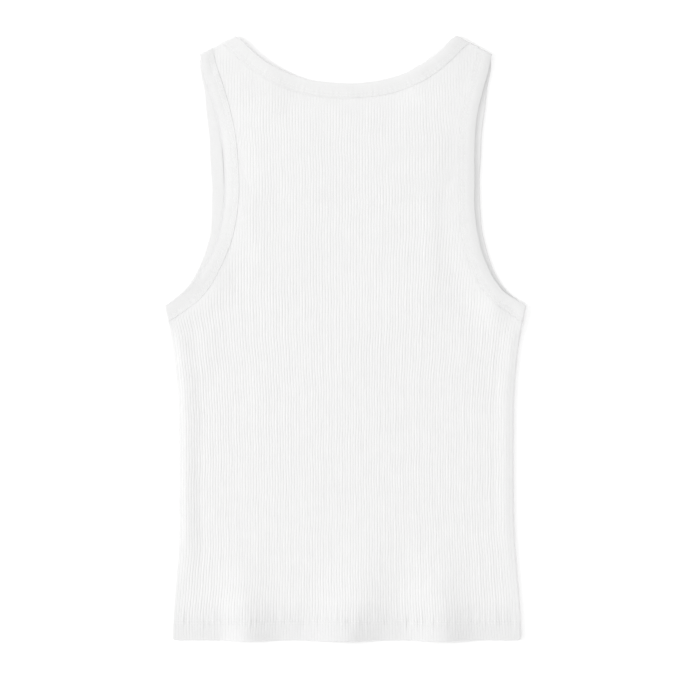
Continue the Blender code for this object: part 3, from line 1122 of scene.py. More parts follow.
@dataclass
class RibbedPanel:
    """A panel of rib knit: its columns follow the ribs, and its rows fill each column from end to end.

    The body reaches from the hem to the lower half of the armholes, and the yoke goes on from its middle
    columns to the neck and the shoulders. The edges at an opening are tucked into its binding.
    """

    cut: Cut
    knit: bpy.types.Material
    thread: bpy.types.Material
    side: ClassVar[Side]
    piece: ClassVar[str]
    node: ClassVar[str]
    samples: int = 6
    inner_samples: int = 2
    row_step: int = 2
    hem_rows: tuple = (
        0.0, 0.00015, 0.0004, 0.0008, 0.0016, 0.0050, 0.0090, 0.0130, 0.0162, 0.0172, 0.0182, 0.0190,
        0.0198, 0.0206, 0.0214, 0.0230, 0.0260,
    )
    top_rows: tuple = (0.0110, 0.0085, 0.0070, 0.0058, 0.0048, 0.0038, 0.0028, 0.0016, 0.0)
    middle_rows: int = 37
    yoke_rows: int = 47
    yoke_crowding: float = 0.55
    tuck: float = 0.0040
    outer_turn: tuple = (0.0016, 0.0052)
    inner_turn: tuple = (0.0006, 0.0018)
    tucked_wall: float = 0.0003
    seam_wall: float = 0.0001
    side_round: float = 0.0013
    hem_round: float = 0.0008
    hem_relief: float = 0.45
    hem_unevenness: float = 0.0040
    seam_relief: float = 0.20
    seam_relief_over: float = 0.020
    shoulder_plain: float = 0.010
    side_relief: float = 0.15
    side_relief_over: float = 0.018
    hem_extra: float = 0.00045
    rib_step: float = 0.0150
    rib_power: float = 2.4
    rib_unevenness: float = 0.10
    waver: float = 0.00028
    wavers: tuple = (Ripple(61.0, 23.0), Ripple(147.0, -40.0, 1.3))
    patchiness: float = 0.22
    patches: tuple = (Ripple(96.0, 2.4), Ripple(37.0, 0.7))
    upper_relief: float = 0.52
    upper_from: float = 0.330
    upper_over: float = 0.120
    needle_rows: tuple = (0.0172, 0.0198)
    needle_dip: float = 0.00012
    needle_reach: float = 0.0007
    seed: int = 11

    def faces(self, grid: Grid) -> tuple[Array, Array]:
        """Heights of the cloth's inner and outer faces, away from its edges."""
        raise NotImplementedError

    def slot_height(self, grid: Grid, at_neck: Array) -> Array:
        """Height of the middle of the slot in the binding that holds the panel's edge."""
        raise NotImplementedError

    @property
    def outwards(self) -> float:
        """1 where the panel's outer face looks up, and -1 where it looks down."""
        return 1.0 if self.side is Side.BACK else -1.0

    @property
    def column_step(self) -> int:
        """How many columns of the outside pass for each of the inside."""
        return self.samples // self.inner_samples

    def rib_numbers(self, each_side: int) -> Array:
        """The rib number of each column, for so many columns on each side of the middle."""
        return np.arange(-each_side, each_side + 1) / self.samples

    def drawn(self, ribs: Array, seed: int, spread: float) -> Array:
        """A random number for each rib, drawn from a normal curve in the ribs' order.

        Args:
            ribs: Rib numbers, of which the nearest whole ones count.
            seed: The draw's seed.
            spread: The curve's standard deviation.

        Returns:
            The number at each of them.
        """
        each_side = self.cut.ribs_each_side
        numbers = np.random.default_rng(seed).normal(0.0, spread, 2 * each_side + 1)
        return numbers[np.round(ribs).astype(int) + each_side]

    def rib_profile(self, ribs: Array) -> Array:
        """1 on a crest and 0 in a narrow furrow: one less a power of the way from crest to furrow.

        Args:
            ribs: Rib numbers; the crests are at whole ones, and each has its own height, a little uneven.

        Returns:
            Shares of a rib's full height.
        """
        away = 2.0 * np.abs(ribs - np.round(ribs))
        return (1.0 + self.drawn(ribs, self.seed, self.rib_unevenness)) * (1.0 - away**self.rib_power)

    def column_ends(self) -> tuple[Array, Array, Array, int, int]:
        """Works out where the columns of each part end.

        Returns:
            The body's top at each of its columns, the yoke's bottom and top at each of its own, and how
            many columns on each side of the middle the two share and the yoke has.
        """
        cut, step = self.cut, self.column_step
        edge = cut.panel_edge(Opening.ARMHOLE, self.side, self.tuck)
        at_rib = cut.rib_share(edge[:, 0], edge[:, 1]) * cut.ribs_each_side
        waist = int(np.argmin(at_rib))
        shared, reach = (int(at_rib[place] * self.samples / step) * step for place in (waist, -1))
        ribs = np.abs(self.rib_numbers(cut.ribs_each_side * self.samples))
        lower = np.interp(ribs, at_rib[waist::-1], edge[waist::-1, 1])
        ribs = np.abs(self.rib_numbers(reach))
        upper = np.interp(ribs, at_rib[waist:], edge[waist:, 1])
        x = ribs * cut.rib_pitch
        neck = cut.panel_edge(Opening.NECK, self.side, self.tuck)
        top = np.where(x < neck[-1, 0], np.interp(x, neck[:, 0], neck[:, 1]), cut.shoulder_height(x))
        return lower, np.minimum(upper, top - cut.gap), top, shared, reach

    def hem_line(self, ribs: Array) -> Array:
        """Height of the hem, which turns up round each corner in a quarter circle.

        Args:
            ribs: Rib numbers.

        Returns:
            The height at each of them.
        """
        cut = self.cut
        inside = cut.side_seam[0].half_width * (1.0 - np.abs(ribs) / cut.ribs_each_side)
        return cut.hem_corner * (1.0 - quarter_round(inside / cut.hem_corner))

    def places(self, ribs: Array, height: Array) -> Grid:
        """Places on the ribs, which fan out with the side seams and waver by a sum of sines.

        Args:
            ribs: Rib numbers.
            height: Heights from the hem.

        Returns:
            The places.
        """
        cut = self.cut
        share = np.broadcast_to(ribs / cut.ribs_each_side, height.shape)
        x = share * cut.spread(np.abs(share), height)
        inside = smooth((cut.half_width(height) - np.abs(x)) / cut.binding_width)
        wave = sum(ripple.at(x, height) for ripple in self.wavers)
        return Grid(np.broadcast_to(ribs, height.shape), x + self.waver * wave * inside, height)

    def grids(self) -> tuple[Grid, Grid, int]:
        """Works out the places of both parts.

        The body's rows keep their distances from the hem and from its top, and are even between. The
        yoke's crowd towards both of its ends by a soft step.

        Returns:
            The body's and the yoke's places, and how many columns on each side they share.
        """
        lower, bottom, top, shared, reach = self.column_ends()
        ribs = self.rib_numbers(self.cut.ribs_each_side * self.samples)
        hem = self.hem_line(ribs)
        near_hem, near_top = (np.array(rows)[:, None] for rows in (self.hem_rows, self.top_rows))
        share = np.linspace(0.0, 1.0, self.middle_rows + 2)[1:-1, None]
        between = mix(hem + near_hem[-1], lower - near_top[0], share)
        body = self.places(ribs, np.vstack([hem + near_hem, between, lower - near_top]))
        share = np.linspace(0.0, 1.0, self.yoke_rows)
        share = mix(share, smooth(share), self.yoke_crowding)[:, None]
        return body, self.places(self.rib_numbers(reach), mix(bottom, top, share)), shared

    def from_seam(self, grid: Grid, opening: Opening) -> Array:
        """Distance from the binding's seam at an opening, negative under the binding."""
        from_edge = distance_to_line(grid.x, grid.height, self.cut.edges[opening, self.side])
        return from_edge - self.cut.binding_width - self.cut.gap

    def from_outline(self, grid: Grid) -> Array:
        """Distance from the side seam or the shoulder seam.

        Args:
            grid: The places.

        Returns:
            The smaller of the two; the shoulder's is the height below it times its slope's cosine.
        """
        cut = self.cut
        side = cut.half_width(grid.height) - np.abs(grid.x)
        cosine = abs(cut.shoulder.along[0])
        return np.minimum(side, (cut.shoulder_height(grid.x) - grid.height) * cosine)

    def seam_height(self, grid: Grid) -> Array:
        """Height of the seam with the other panel: low down the sides, and as high as the folds on top."""
        cut = self.cut
        return np.where(grid.height > cut.underarm_point[1], cut.fold_radius, cut.wall + cut.gap / 2)

    def in_hem(self, grid: Grid) -> Array:
        """1 in the turned-up hem and 0 above it, by a soft step whose height differs a little by rib."""
        shift = self.drawn(grid.ribs, self.seed + 1, self.hem_unevenness)
        return 1.0 - smooth((grid.height - self.cut.hem_depth - shift) / self.rib_step + 0.5)

    def ribs_at(self, grid: Grid) -> Array:
        """How far the ribs stand up, in metres.

        Soft steps lower them in the hem, at the sides, towards the bindings, where they are sewn flat,
        and in the upper half. The product of two sines makes them a little patchy.

        Args:
            grid: The places.

        Returns:
            The height of the knit over its furrows.
        """
        cut = self.cut
        from_seam = np.min([self.from_seam(grid, opening) for opening in Opening], axis=0)
        from_seam = np.minimum(from_seam, cut.shoulder_height(grid.x) - grid.height - self.shoulder_plain)
        from_side = cut.half_width(grid.height) - np.abs(grid.x)
        short, long = (ripple.at(np.round(grid.ribs), grid.height) for ripple in self.patches)
        held = mix(self.seam_relief, 1.0, smooth(from_seam / self.seam_relief_over))
        held *= mix(1.0, self.hem_relief, self.in_hem(grid))
        held *= mix(self.side_relief, 1.0, smooth(from_side / self.side_relief_over))
        held *= mix(1.0, self.upper_relief, smooth((grid.height - self.upper_from) / self.upper_over))
        held *= 1.0 + self.patchiness * short * long
        return cut.rib_relief * self.rib_profile(grid.ribs) * held

    def needle_lines(self, height: Array) -> Array:
        """How far the two rows of stitches pull the hem in: a bell round each."""
        return self.needle_dip * sum(bell((height - row) / self.needle_reach) for row in self.needle_rows)

    def tucked(self, grid: Grid, z: Array, outwards: float, outside: bool) -> Array:
        """Brings one face of the cloth down into the bindings' slots.

        Within the outline's folds the slot bends down to their axis, by a quarter circle of their radius.

        Args:
            grid: The places.
            z: The face's heights.
            outwards: 1 or -1, the way from the slot's middle to this face.
            outside: Whether it is the outer face, which starts to turn further from the seam.

        Returns:
            The heights, blended by a soft step to the slot's about each seam.
        """
        cut = self.cut
        within, over = self.outer_turn if outside else self.inner_turn
        armhole, neck = (1.0 - smooth((self.from_seam(grid, opening) + within) / over) for opening in Opening)
        held = self.slot_height(grid, neck > armhole) + outwards * self.tucked_wall / 2
        round_fold = quarter_round(self.from_outline(grid) / cut.fold_radius)
        round_fold = np.where(grid.height > cut.underarm_fold_to[1], round_fold, 1.0)
        held = mix(cut.fold_radius + np.sign(held - cut.fold_radius) * cut.gap, held, round_fold)
        return mix(z, held, np.maximum(armhole, neck))

    def surface(self, grid: Grid, outside: bool) -> Array:
        """Heights of one face of the cloth, with its edges.

        The faces come together in a sine round at the side and shoulder seams and in a half round at the
        hem, and both run into the bindings.

        Args:
            grid: The places.
            outside: Whether it is the outer face.

        Returns:
            Heights over the floor.
        """
        inner, outer = self.faces(grid)
        seam = self.seam_height(grid) + self.outwards * self.cut.gap / 2
        rounding = sine_round(self.from_outline(grid) / self.side_round)
        inner, outer = mix(seam, inner, rounding), mix(seam + self.outwards * self.seam_wall, outer, rounding)
        share = quarter_round((grid.height - self.hem_line(grid.ribs)) / self.hem_round)
        face = mix((inner + outer) / 2, outer if outside else inner, share)
        return self.tucked(grid, face, self.outwards if outside else -self.outwards, outside)

    def drawn_in(self, grid: Grid) -> Grid:
        """Moves places in a little from the outline where the panel's edge runs inside a fold.

        The move shrinks with the distance from the outline and from the binding.

        Args:
            grid: The places.

        Returns:
            The moved places.
        """
        cut = self.cut
        held = [smooth(1.0 - self.from_seam(grid, opening) / self.tucked_wall) for opening in Opening]
        reach = (cut.binding_thickness - cut.slot) * np.maximum(*held)
        reach *= np.clip(1.0 - self.from_outline(grid) / cut.fold_radius, 0.0, 1.0)
        reach = np.where(grid.height > cut.underarm_fold_to[1], reach, 0.0)
        at_shoulder = (grid.height > cut.underarm_point[1] + cut.binding_width)[..., None]
        move = reach[..., None] * np.where(at_shoulder, cut.shoulder.inward, cut.underarm.inward)
        return Grid(grid.ribs, grid.x + move[..., 0] * np.sign(grid.x), grid.height + move[..., 1])

    def points(self, grid: Grid, z: Array) -> Array:
        """Points at a grid's places and some heights, as the garment lies."""
        points = np.stack([grid.x, grid.height - self.cut.length / 2, z], axis=-1)
        return self.cut.laid(points, float(self.side is Side.BACK))

    def edge_loops(self, body: Array, yoke: Array, shared: int) -> list[Array]:
        """The stretches of a sheet's edge in order, anticlockwise from the hem's left end.

        Args:
            body: Values at the body's points, by rows and columns.
            yoke: Values at the yoke's points.
            shared: How many columns on each side of the middle the two share.

        Returns:
            The values along each stretch.
        """
        wide, narrow = body.shape[1] // 2, yoke.shape[1] // 2
        return [
            body[0],
            body[:, -1],
            body[-1, : wide + shared - 1 : -1],
            yoke[0, narrow + shared :],
            yoke[:, -1],
            yoke[-1, ::-1],
            yoke[::-1, 0],
            yoke[0, : narrow - shared + 1],
            body[-1, wide - shared :: -1],
            body[::-1, 0],
        ]

    def add_sheet(
        self, mesher: Mesher, grids: Sequence[Grid], shared: int, outside: bool
    ) -> tuple[list[Array], list[Array]]:
        """Adds one face of the cloth.

        Args:
            mesher: What gathers the mesh.
            grids: The body's and the yoke's places.
            shared: How many columns on each side of the middle the two share.
            outside: Whether it is the outer face.

        Returns:
            Point numbers and pattern coordinates along the stretches of its edge.
        """
        pitch = self.cut.rib_pitch
        patterns = [np.stack([grid.ribs, grid.height / pitch], axis=-1) for grid in grids]
        body, yoke = (
            mesher.add_points(self.points(self.drawn_in(grid), self.surface(grid, outside))) for grid in grids
        )
        in_body, in_yoke = (
            slice(half - shared, half + shared + 1) for half in (body.shape[1] // 2, yoke.shape[1] // 2)
        )
        yoke[0, in_yoke] = body[-1, in_body]
        step = 1 if outside else -1
        for index, pattern in zip((body, yoke), patterns):
            mesher.add_grid(index[:, ::step], pattern[:, ::step])
        return self.edge_loops(body, yoke, shared), self.edge_loops(*patterns, shared)

    def mesh(self) -> bpy.types.Mesh:
        """Makes the panel as a closed shell.

        Returns:
            A fine outer face, a coarser inner one, and a rim between.
        """
        mesher = Mesher()
        body, yoke, shared = self.grids()
        coarse = [grid.picked(self.row_step, self.column_step) for grid in (body, yoke)]
        outer, patterns = self.add_sheet(mesher, (body, yoke), shared, True)
        inner, _ = self.add_sheet(mesher, coarse, shared // self.column_step, False)
        for stretch in zip(outer, inner, patterns):
            mesher.add_rim(*stretch)
        return mesher.mesh(self.piece)

    def flat_area(self) -> float:
        """The area of the piece of cloth: its cells' and the turned-up hem's.

        Returns:
            Half the cross product of each cell's diagonals, added up, and the hem's depth times its width.
        """
        cut = self.cut
        area = 2 * cut.side_seam[0].half_width * cut.hem_depth
        for grid in self.grids()[:2]:
            corners = grid_corners(np.stack([grid.x, grid.height], axis=-1))
            a, b = corners[:, :, 2] - corners[:, :, 0], corners[:, :, 3] - corners[:, :, 1]
            area += float(np.sum(np.abs(a[..., 0] * b[..., 1] - a[..., 1] * b[..., 0]))) / 2
        return area

    def hem_stitching(self) -> bpy.types.Object:
        """Adds the two rows of stitches that hold the hem, lying on the panel's outer face.

        Returns:
            The stitches' object.
        """
        mesher = Mesher()
        ribs = self.rib_numbers(self.cut.ribs_each_side * self.samples)
        for row in self.needle_rows:
            grid = self.places(ribs, np.full(ribs.shape, row))
            line = self.points(grid, self.surface(grid, True))[self.samples : -self.samples]
            Stitches().add_row(mesher, line, np.broadcast_to(self.outwards * UP, line.shape))
        name = f"{self.piece}_hem_stitches"
        return add_piece(name, mesher.mesh(name), self.thread)

    def build(self, rests_on: Sequence[str]) -> bpy.types.Object:
        """Adds the panel and its stitches, in place of its solid, and logs its flat area.

        Args:
            rests_on: The names of the pieces that it lies on; not used.

        Returns:
            The panel's object.
        """
        piece = add_piece(self.piece, self.mesh(), self.knit)
        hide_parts(self.node)
        hem, area = self.hem_stitching(), self.flat_area()
        log.info("%s: flat area %.4f square metres", self.piece, area)
        return piece


@dataclass
class BackPanel(RibbedPanel):
    """The back, on top as the garment lies."""

    side: ClassVar[Side] = Side.BACK
    piece: ClassVar[str] = "back"
    node: ClassVar[str] = "back_panel"
    inner_relief: float = 0.0003

    @cached_property
    def lie(self) -> BackLie:
        """How it lies."""
        return BackLie(self.cut)

    def slot_height(self, grid: Grid, at_neck: Array) -> Array:
        """The middle of the bindings' back layer.

        Args:
            grid: The places.
            at_neck: Whether each is held by the neck's binding, which sags with the panel.

        Returns:
            Heights over the floor, with the creases and swells.
        """
        cut = self.cut
        middle = cut.fold_radius + cut.gap / 2 + cut.slot + self.lie.unevenness(grid.x, grid.height)
        return middle - np.where(at_neck, self.lie.sag(grid.x) * self.lie.band_sag_share, 0.0)

    def faces(self, grid: Grid) -> tuple[Array, Array]:
        """The cloth's lower, inner face and its upper one.

        The lower one has shallow ribs. The upper one is the lie's own height, a wall and the ribs on it,
        with a little more for the turned-up hem, less what the stitches pull in.

        Args:
            grid: The places.

        Returns:
            Heights over the floor of the inner and the outer face.
        """
        low = self.lie.inner_height(grid.x, grid.height)
        hem = self.in_hem(grid)
        wall = self.cut.wall + self.hem_extra * hem + self.ribs_at(grid) - self.needle_lines(grid.height)
        return low + self.inner_relief * (1.0 - hem) * self.rib_profile(grid.ribs), low + wall


@dataclass
class FrontPanel(RibbedPanel):
    """The front, underneath, with its ribs and creases pressed up into its outer face."""

    side: ClassVar[Side] = Side.FRONT
    piece: ClassVar[str] = "front"
    node: ClassVar[str] = "front_panel"
    relief_share: float = 0.65
    creases: tuple = table(
        Crease,
        (0.149, 0.336, -52.0, 0.060, 0.0060, 0.00025),
        (-0.152, 0.333, 50.0, 0.050, 0.0055, 0.0002),
        (0.088, 0.060, 3.0, 0.150, 0.0090, 0.00022),
        (-0.040, 0.075, -6.0, 0.170, 0.0100, 0.0002),
        (0.020, 0.330, 9.0, 0.160, 0.0110, 0.00018),
    )

    def slot_height(self, grid: Grid, at_neck: Array) -> Array:
        """The middle of the bindings' front layer."""
        return np.full(grid.x.shape, self.cut.fold_radius - self.cut.gap / 2 - self.cut.slot)

    def faces(self, grid: Grid) -> tuple[Array, Array]:
        """The cloth's upper, inner face, which is plain, and its lower one, which touches the floor.

        The lower one rises by a share of what a rib lacks there, the creases and what the stitches pull in.

        Args:
            grid: The places.

        Returns:
            Heights over the floor of the inner and the outer face.
        """
        low = self.relief_share * np.maximum(self.cut.rib_relief - self.ribs_at(grid), 0.0)
        low = low + sum(crease.at(grid.x, grid.height) for crease in self.creases)
        return np.full(grid.x.shape, self.cut.wall), low + self.needle_lines(grid.height)


# ---------------------------------------------------------------- bindings and stitches


class Path(NamedTuple):
    """A binding's run: at each section its free edge, the ways to its seam and outwards, and its width."""

    origin: Array
    across: Array
    out: Array
    width: Array

    def picked(self, rows: slice) -> "Path":
        """Some of the sections, in some order."""
        return Path(*(values[rows] for values in self))

    def mirrored(self) -> "Path":
        """The same run on the garment's other half, in reverse order."""
        back = self.picked(BACKWARDS)
        return Path(back.origin * MIRROR, back.across * MIRROR, back.out * MIRROR, back.width)

    @staticmethod
    def joined(*parts: "Path") -> "Path":
        """The runs end to end."""
        return Path(*(np.concatenate(values) for values in zip(*parts)))


class Wave(NamedTuple):
    """A sine along a strip: its length and height, how often the strip's phase counts, and its start."""

    length: float
    height: float
    phases: float = 1.0
    start: float = 0.0

    def at(self, run: Array, phase: float) -> Array:
        """Its height: a sine of the run, with one full turn for each length, the phases and the start."""
        return self.height * np.sin(2.0 * math.pi * run / self.length + self.phases * phase + self.start)


@dataclass(frozen=True)
class Stitches:
    """Rows of short thread stitches that dive into the cloth at both ends."""

    length: float = 0.0024
    space: float = 0.0007
    radius: float = 0.00017
    taper: float = 0.55
    dive: float = 0.00026
    stand: float = 0.00009
    rings: int = 5
    sides: int = 6
    rings_per_ply: float = 2.0

    def add_row(self, mesher: Mesher, line: Array, out: Array, closed: bool = False) -> None:
        """Adds stitches at equal distances along a line.

        Each is a tube whose middle line is a parabola that falls at its ends, and whose radius shrinks
        there by a fourth power. The surface that the garment lies on presses the lowest ones flat.

        Args:
            mesher: What gathers the mesh.
            line: Points on the cloth's surface.
            out: The way out of the cloth at each point.
            closed: Whether the line runs round to its start.
        """
        run = run_along(line)
        number = int(run[-1] / (self.length + self.space))
        middles = (np.arange(number) + (0.0 if closed else 0.5)) * run[-1] / number
        ends = (np.clip(middles + way * self.length / 2, 0.0, run[-1]) for way in (1.0, -1.0))
        ahead = unit(np.subtract(*(sampled(line, run, end) for end in ends)))
        beside = unit(np.cross(sampled(out, run, middles), ahead))
        t = np.linspace(-1.0, 1.0, self.rings)[:, None]
        turn = np.arange(self.sides) / self.sides * 2.0 * math.pi
        radius = self.radius * (1.0 - self.taper * t**4)
        lift = self.stand - self.dive * t**2 + radius * np.sin(turn)
        reaches = (np.broadcast_to(t * self.length / 2, lift.shape), radius * np.cos(turn), lift)
        points = sampled(line, run, middles)[:, None, None]
        for way, reach in zip((ahead, beside, np.cross(ahead, beside)), reaches):
            points = points + way[:, None, None] * reach[..., None]
        points[..., 2] = np.maximum(points[..., 2], 0.0)
        index = mesher.add_points(points)
        around = np.concatenate([index, index[:, :, :1]], axis=2)
        corners = np.moveaxis(grid_corners(np.moveaxis(around, 0, -1)), -1, 0)
        u, v = np.arange(self.sides + 1) / self.sides, np.arange(self.rings)[:, None] / self.rings_per_ply
        pattern = grid_corners(np.stack(np.broadcast_arrays(u, v), axis=-1)).reshape(-1, 4, 2)
        mesher.add_faces(corners.reshape(-1, 4), np.tile(pattern, (number, 1, 1)))
        for caps in (index[:, 0, ::-1], index[:, -1]):
            mesher.add_faces(caps, np.zeros((*caps.shape, 2)))


def by_layer(upwards: Array) -> tuple[Array, Array]:
    """How far outsides look up, as the back's do, and how far they look down, as the front's do."""
    return np.clip(upwards, 0.0, 1.0), np.clip(-upwards, 0.0, 1.0)


@dataclass
class Binding:
    """A folded strip of plain knit round an opening: two layers and the fold between them.

    Its cross-section is a U lying on its side, and the panel's edge is held between its layers. Shares
    are of the width, from the free edge.
    """

    cut: Cut
    lie: BackLie
    knit: bpy.types.Material
    thread: bpy.types.Material
    piece: str
    node: str
    outer_layer: float = 0.00022
    inner_layer: float = 0.00085
    fold_reach: float = 0.00012
    fold_flat: float = 0.00040
    turn_samples: int = 9
    outer_shares: tuple = (0.985, 0.95, 0.90, 0.84, 0.78, 0.72, 0.66, 0.58, 0.46, 0.34, 0.22, 0.10)
    under_shares: tuple = (0.10, 0.30, 0.50, 0.70, 0.85, 0.95)
    within_shares: tuple = (0.94, 0.78, 0.62, 0.50)
    hollow_from: float = 0.42
    ceiling_shares: tuple = (0.50, 0.62, 0.78, 0.99)
    outer_layer_from: float = 0.85
    bulge: float = 0.00016
    pressed: float = 0.0
    pressed_over: float = 0.0100
    rolled: float = 0.0
    rolled_over: float = 0.0090
    sag_share: float = 0.0
    edge_drop: float = 0.00014
    edge_drop_reach: float = 0.0026
    last_drop: float = 0.000042
    needle_rows: tuple = (0.0022, 0.0050)
    needle_dip: float = 0.00007
    needle_reach: float = 0.0009
    puckers: tuple = table(Wave, (0.0046, 0.00004), (0.006302, 0.000032, 2.0, 1.0))
    pucker_reach: float = 0.00728
    sway: Wave = Wave(0.047, 0.00030)
    sway_outwards: float = 0.00006
    edge_count: int = 230
    fold_count: int = 13
    phase: float = 0.0
    # painted shade: darker along the back layer's free edge and on the front layer's inside near its free
    # edge
    painted_edge_shade: float = 0.0
    edge_shade_reach: float = 0.0015
    painted_inside_shade: float = 0.0
    inside_shade_reach: float = 0.0045
    shade_height: float = 0.455
    shade_over: float = 0.105

    def path(self) -> Path:
        """The whole ring of sections."""
        raise NotImplementedError

    def edge_path(self, opening: Opening, side: Side) -> Path:
        """Lays sections along one side of the garment.

        Args:
            opening: Which opening.
            side: Which side.

        Returns:
            The sections, from the underarm or the middle to the shoulder.
        """
        cut = self.cut
        edge = cut.edge(opening, side, self.edge_count)
        directions, widths = cut.across(edge, cut.ends(opening))
        x, height = edge.T
        origin = np.column_stack([x, height - cut.length / 2, np.full(len(edge), cut.fold_radius)])
        across = np.column_stack([directions, np.zeros(len(edge))])
        return Path(origin, across, np.broadcast_to(UP if side is Side.BACK else -UP, origin.shape), widths)

    def fold_path(self, fold: Fold) -> Path:
        """Lays sections round a fold, a half circle about its axis.

        Args:
            fold: The fold.

        Returns:
            The sections, from the front's side to the back's.
        """
        cut = self.cut
        angles = np.linspace(-0.5 * math.pi, 0.5 * math.pi, self.fold_count + 2)[1:-1, None]
        x, height = cut.axis_point(fold)
        out = np.cos(angles) * np.append(-fold.inward, 0.0) + np.sin(angles) * UP
        rows = ([x, height - cut.length / 2, cut.fold_radius], np.append(fold.along, 0.0))
        origin, across = (np.broadcast_to(row, out.shape) for row in rows)
        return Path(origin, across, out, np.full(len(out), fold.width))

    def profile(self) -> tuple[Array, Array, Array]:
        """The U's outline, from the outer layer's seam edge round its outside and back within.

        Returns:
            For each point its place across as a share of the width and a length added to it, and its
            height over the strip's lower face.
        """
        thick, half = self.cut.binding_thickness, self.cut.binding_thickness / 2
        ceiling = thick - self.outer_layer
        hollow = (ceiling - self.inner_layer) / 2
        turn = np.linspace(0.5, -0.5, self.turn_samples) * math.pi
        inner_turn = turn[::-2]
        stretches = [
            (1.0, 0.0, thick - self.last_drop),
            (self.outer_shares, 0.0, thick),
            (0.0, self.fold_reach + self.fold_flat, thick),
            (0.0, self.fold_reach * (1.0 - np.cos(turn)), half * (1.0 + np.sin(turn))),
            (self.under_shares, 0.0, 0.0),
            (self.within_shares, 0.0, self.inner_layer),
            (self.hollow_from, -hollow * np.cos(inner_turn), ceiling - hollow * (1.0 - np.sin(inner_turn))),
            (self.ceiling_shares, 0.0, ceiling),
        ]
        rows = [np.broadcast_arrays(*map(np.atleast_1d, stretch)) for stretch in stretches]
        return tuple(map(np.concatenate, zip(*rows)))

    def raised(self, from_edge: Array, width: Array, run: Array) -> Array:
        """How far the outer faces stand over a plain strip.

        A sine bulges them between the fold and the needles, a bell dips them at each row of stitches and
        one more at the seam, and between the stitches they pucker, in two sines of uneven length.

        Args:
            from_edge: Distance from the free edge.
            width: The binding's width there.
            run: Distance along the binding.

        Returns:
            Heights in metres.
        """
        from_seam = width - from_edge
        total = self.bulge * np.sin(math.pi * np.clip(from_edge / (width - self.needle_rows[1]), 0.0, 1.0))
        for row in self.needle_rows:
            total = total - self.needle_dip * bell((from_seam - row) / self.needle_reach)
        total = total - self.edge_drop * bell(from_seam / self.edge_drop_reach)
        near = bell((from_seam - np.mean(self.needle_rows)) / self.pucker_reach)
        pucker = near * sum(wave.at(run, self.phase) for wave in self.puckers)
        return total + pucker * np.clip(from_edge / self.cut.binding_thickness, 0.0, 1.0)

    def thinned(self, height: Array, from_edge: Array, upwards: Array) -> Array:
        """Heights in a strip that thins towards its free edge, pressed down from above.

        The back's layers come down from the outside, by a square, and the front's from the inside, by a
        soft step.

        Args:
            height: Heights over the strip's lower face.
            from_edge: Distance from the free edge.
            upwards: How far the strip's outside looks up, from -1 on the front to 1 on the back.

        Returns:
            The heights in the thinned strip.
        """
        thick = self.cut.binding_thickness
        back, front = by_layer(upwards)
        rolled = self.rolled * np.clip(1.0 - from_edge / self.rolled_over, 0.0, 1.0) ** 2 * back
        pressed = self.pressed * (1.0 - smooth(from_edge / self.pressed_over)) * front
        return thick - (thick - height * (1.0 - rolled)) * (1.0 - pressed)

    def surface(self, path: Path, run: Array, share: Array, added: Array, height: Array) -> Array:
        """Points of the strip's outline at each section.

        Each lies some way across and some way out from its section's free edge, which sways, mostly
        inwards. On the back it rises and sinks with the panel, and the floor stops what comes down to it.

        Args:
            path: The ring of sections.
            run: Distance along it at each.
            share: The outline's places across, as shares of the width.
            added: Lengths added to them.
            height: Heights over the lower face.

        Returns:
            Points by section and place in the outline.
        """
        cut, lie = self.cut, self.lie
        width = path.width[:, None]
        from_edge = share * width + added
        raised = self.raised(from_edge, width, run[:, None])
        height = height + raised * (height > self.outer_layer_from * cut.binding_thickness)
        sway = np.maximum(self.sway.at(run, self.phase), -self.sway_outwards)[:, None]
        from_edge = (from_edge + sway * (1.0 - smooth(share)))[..., None]
        lift = cut.gap / 2 + self.thinned(height, from_edge[..., 0], path.out[:, 2:])[..., None]
        points = path.origin[:, None] + path.across[:, None] * from_edge + path.out[:, None] * lift
        back, _ = by_layer(path.out[:, 2:])
        rise = lie.unevenness(points[..., 0], points[..., 1] + cut.length / 2)
        points[..., 2] += back * (rise - self.sag_share * lie.sag(points[..., 0]))
        points[..., 2] = np.maximum(points[..., 2], 0.0)
        return cut.laid(points, 0.5 + 0.5 * path.out[:, 2:])

    def shade(self, path: Path, share: Array, added: Array) -> Array:
        """How much darker each point is towards the free edges, by bells of the way from them.

        The darkening is painted shade: along the back's edge it stands for the shade in the gap under it, and
        on the front's inside for the back's shadow. Each has a bell of its own, and both fade by another up
        and down from the middle of the armhole.

        Args:
            path: The ring of sections.
            share: The outline's places across, as shares of the width.
            added: Lengths added to them.

        Returns:
            Shares of the way from the knit's light colour to its dark one.
        """
        from_edge = share * path.width[:, None] + added
        back, front = by_layer(path.out[:, 2:])
        total = self.painted_edge_shade * back * bell(from_edge / self.edge_shade_reach)
        total = total + self.painted_inside_shade * front * bell(from_edge / self.inside_shade_reach)
        height = path.origin[:, 1:2] + self.cut.length / 2
        return total * bell((height - self.shade_height) / self.shade_over)

    def mesh(self) -> bpy.types.Mesh:
        """Makes the strip: the U carried along the path and joined to its start.

        Returns:
            The mesh, with its painted shade as an attribute.
        """
        path = self.path()
        run = run_along(looped(path.origin + path.out * self.cut.binding_thickness))
        share, added, height = self.profile()
        points = self.surface(path, run[:-1], share, added, height)
        mesher = Mesher()
        index = looped(mesher.add_points(points))
        index = np.concatenate([index, index[:, :1]], axis=1)
        pattern = np.stack(np.broadcast_arrays(run_along(looped(points[0])), run[:, None]), axis=-1)
        mesher.add_grid(index, pattern / self.cut.rib_pitch)
        made = mesher.mesh(self.piece)
        layer = made.attributes.new("shade", "FLOAT", "POINT")
        layer.data.foreach_set("value", self.shade(path, share, added).reshape(-1).astype(np.float32))
        return made

    def length(self) -> float:
        """The strip's flat length, all the way round.

        Returns:
            The length of the line along the middle of its width, on its outside.
        """
        path = self.path()
        middle = path.origin + path.across * path.width[:, None] / 2 + path.out * self.cut.binding_thickness
        return float(run_along(looped(middle))[-1])

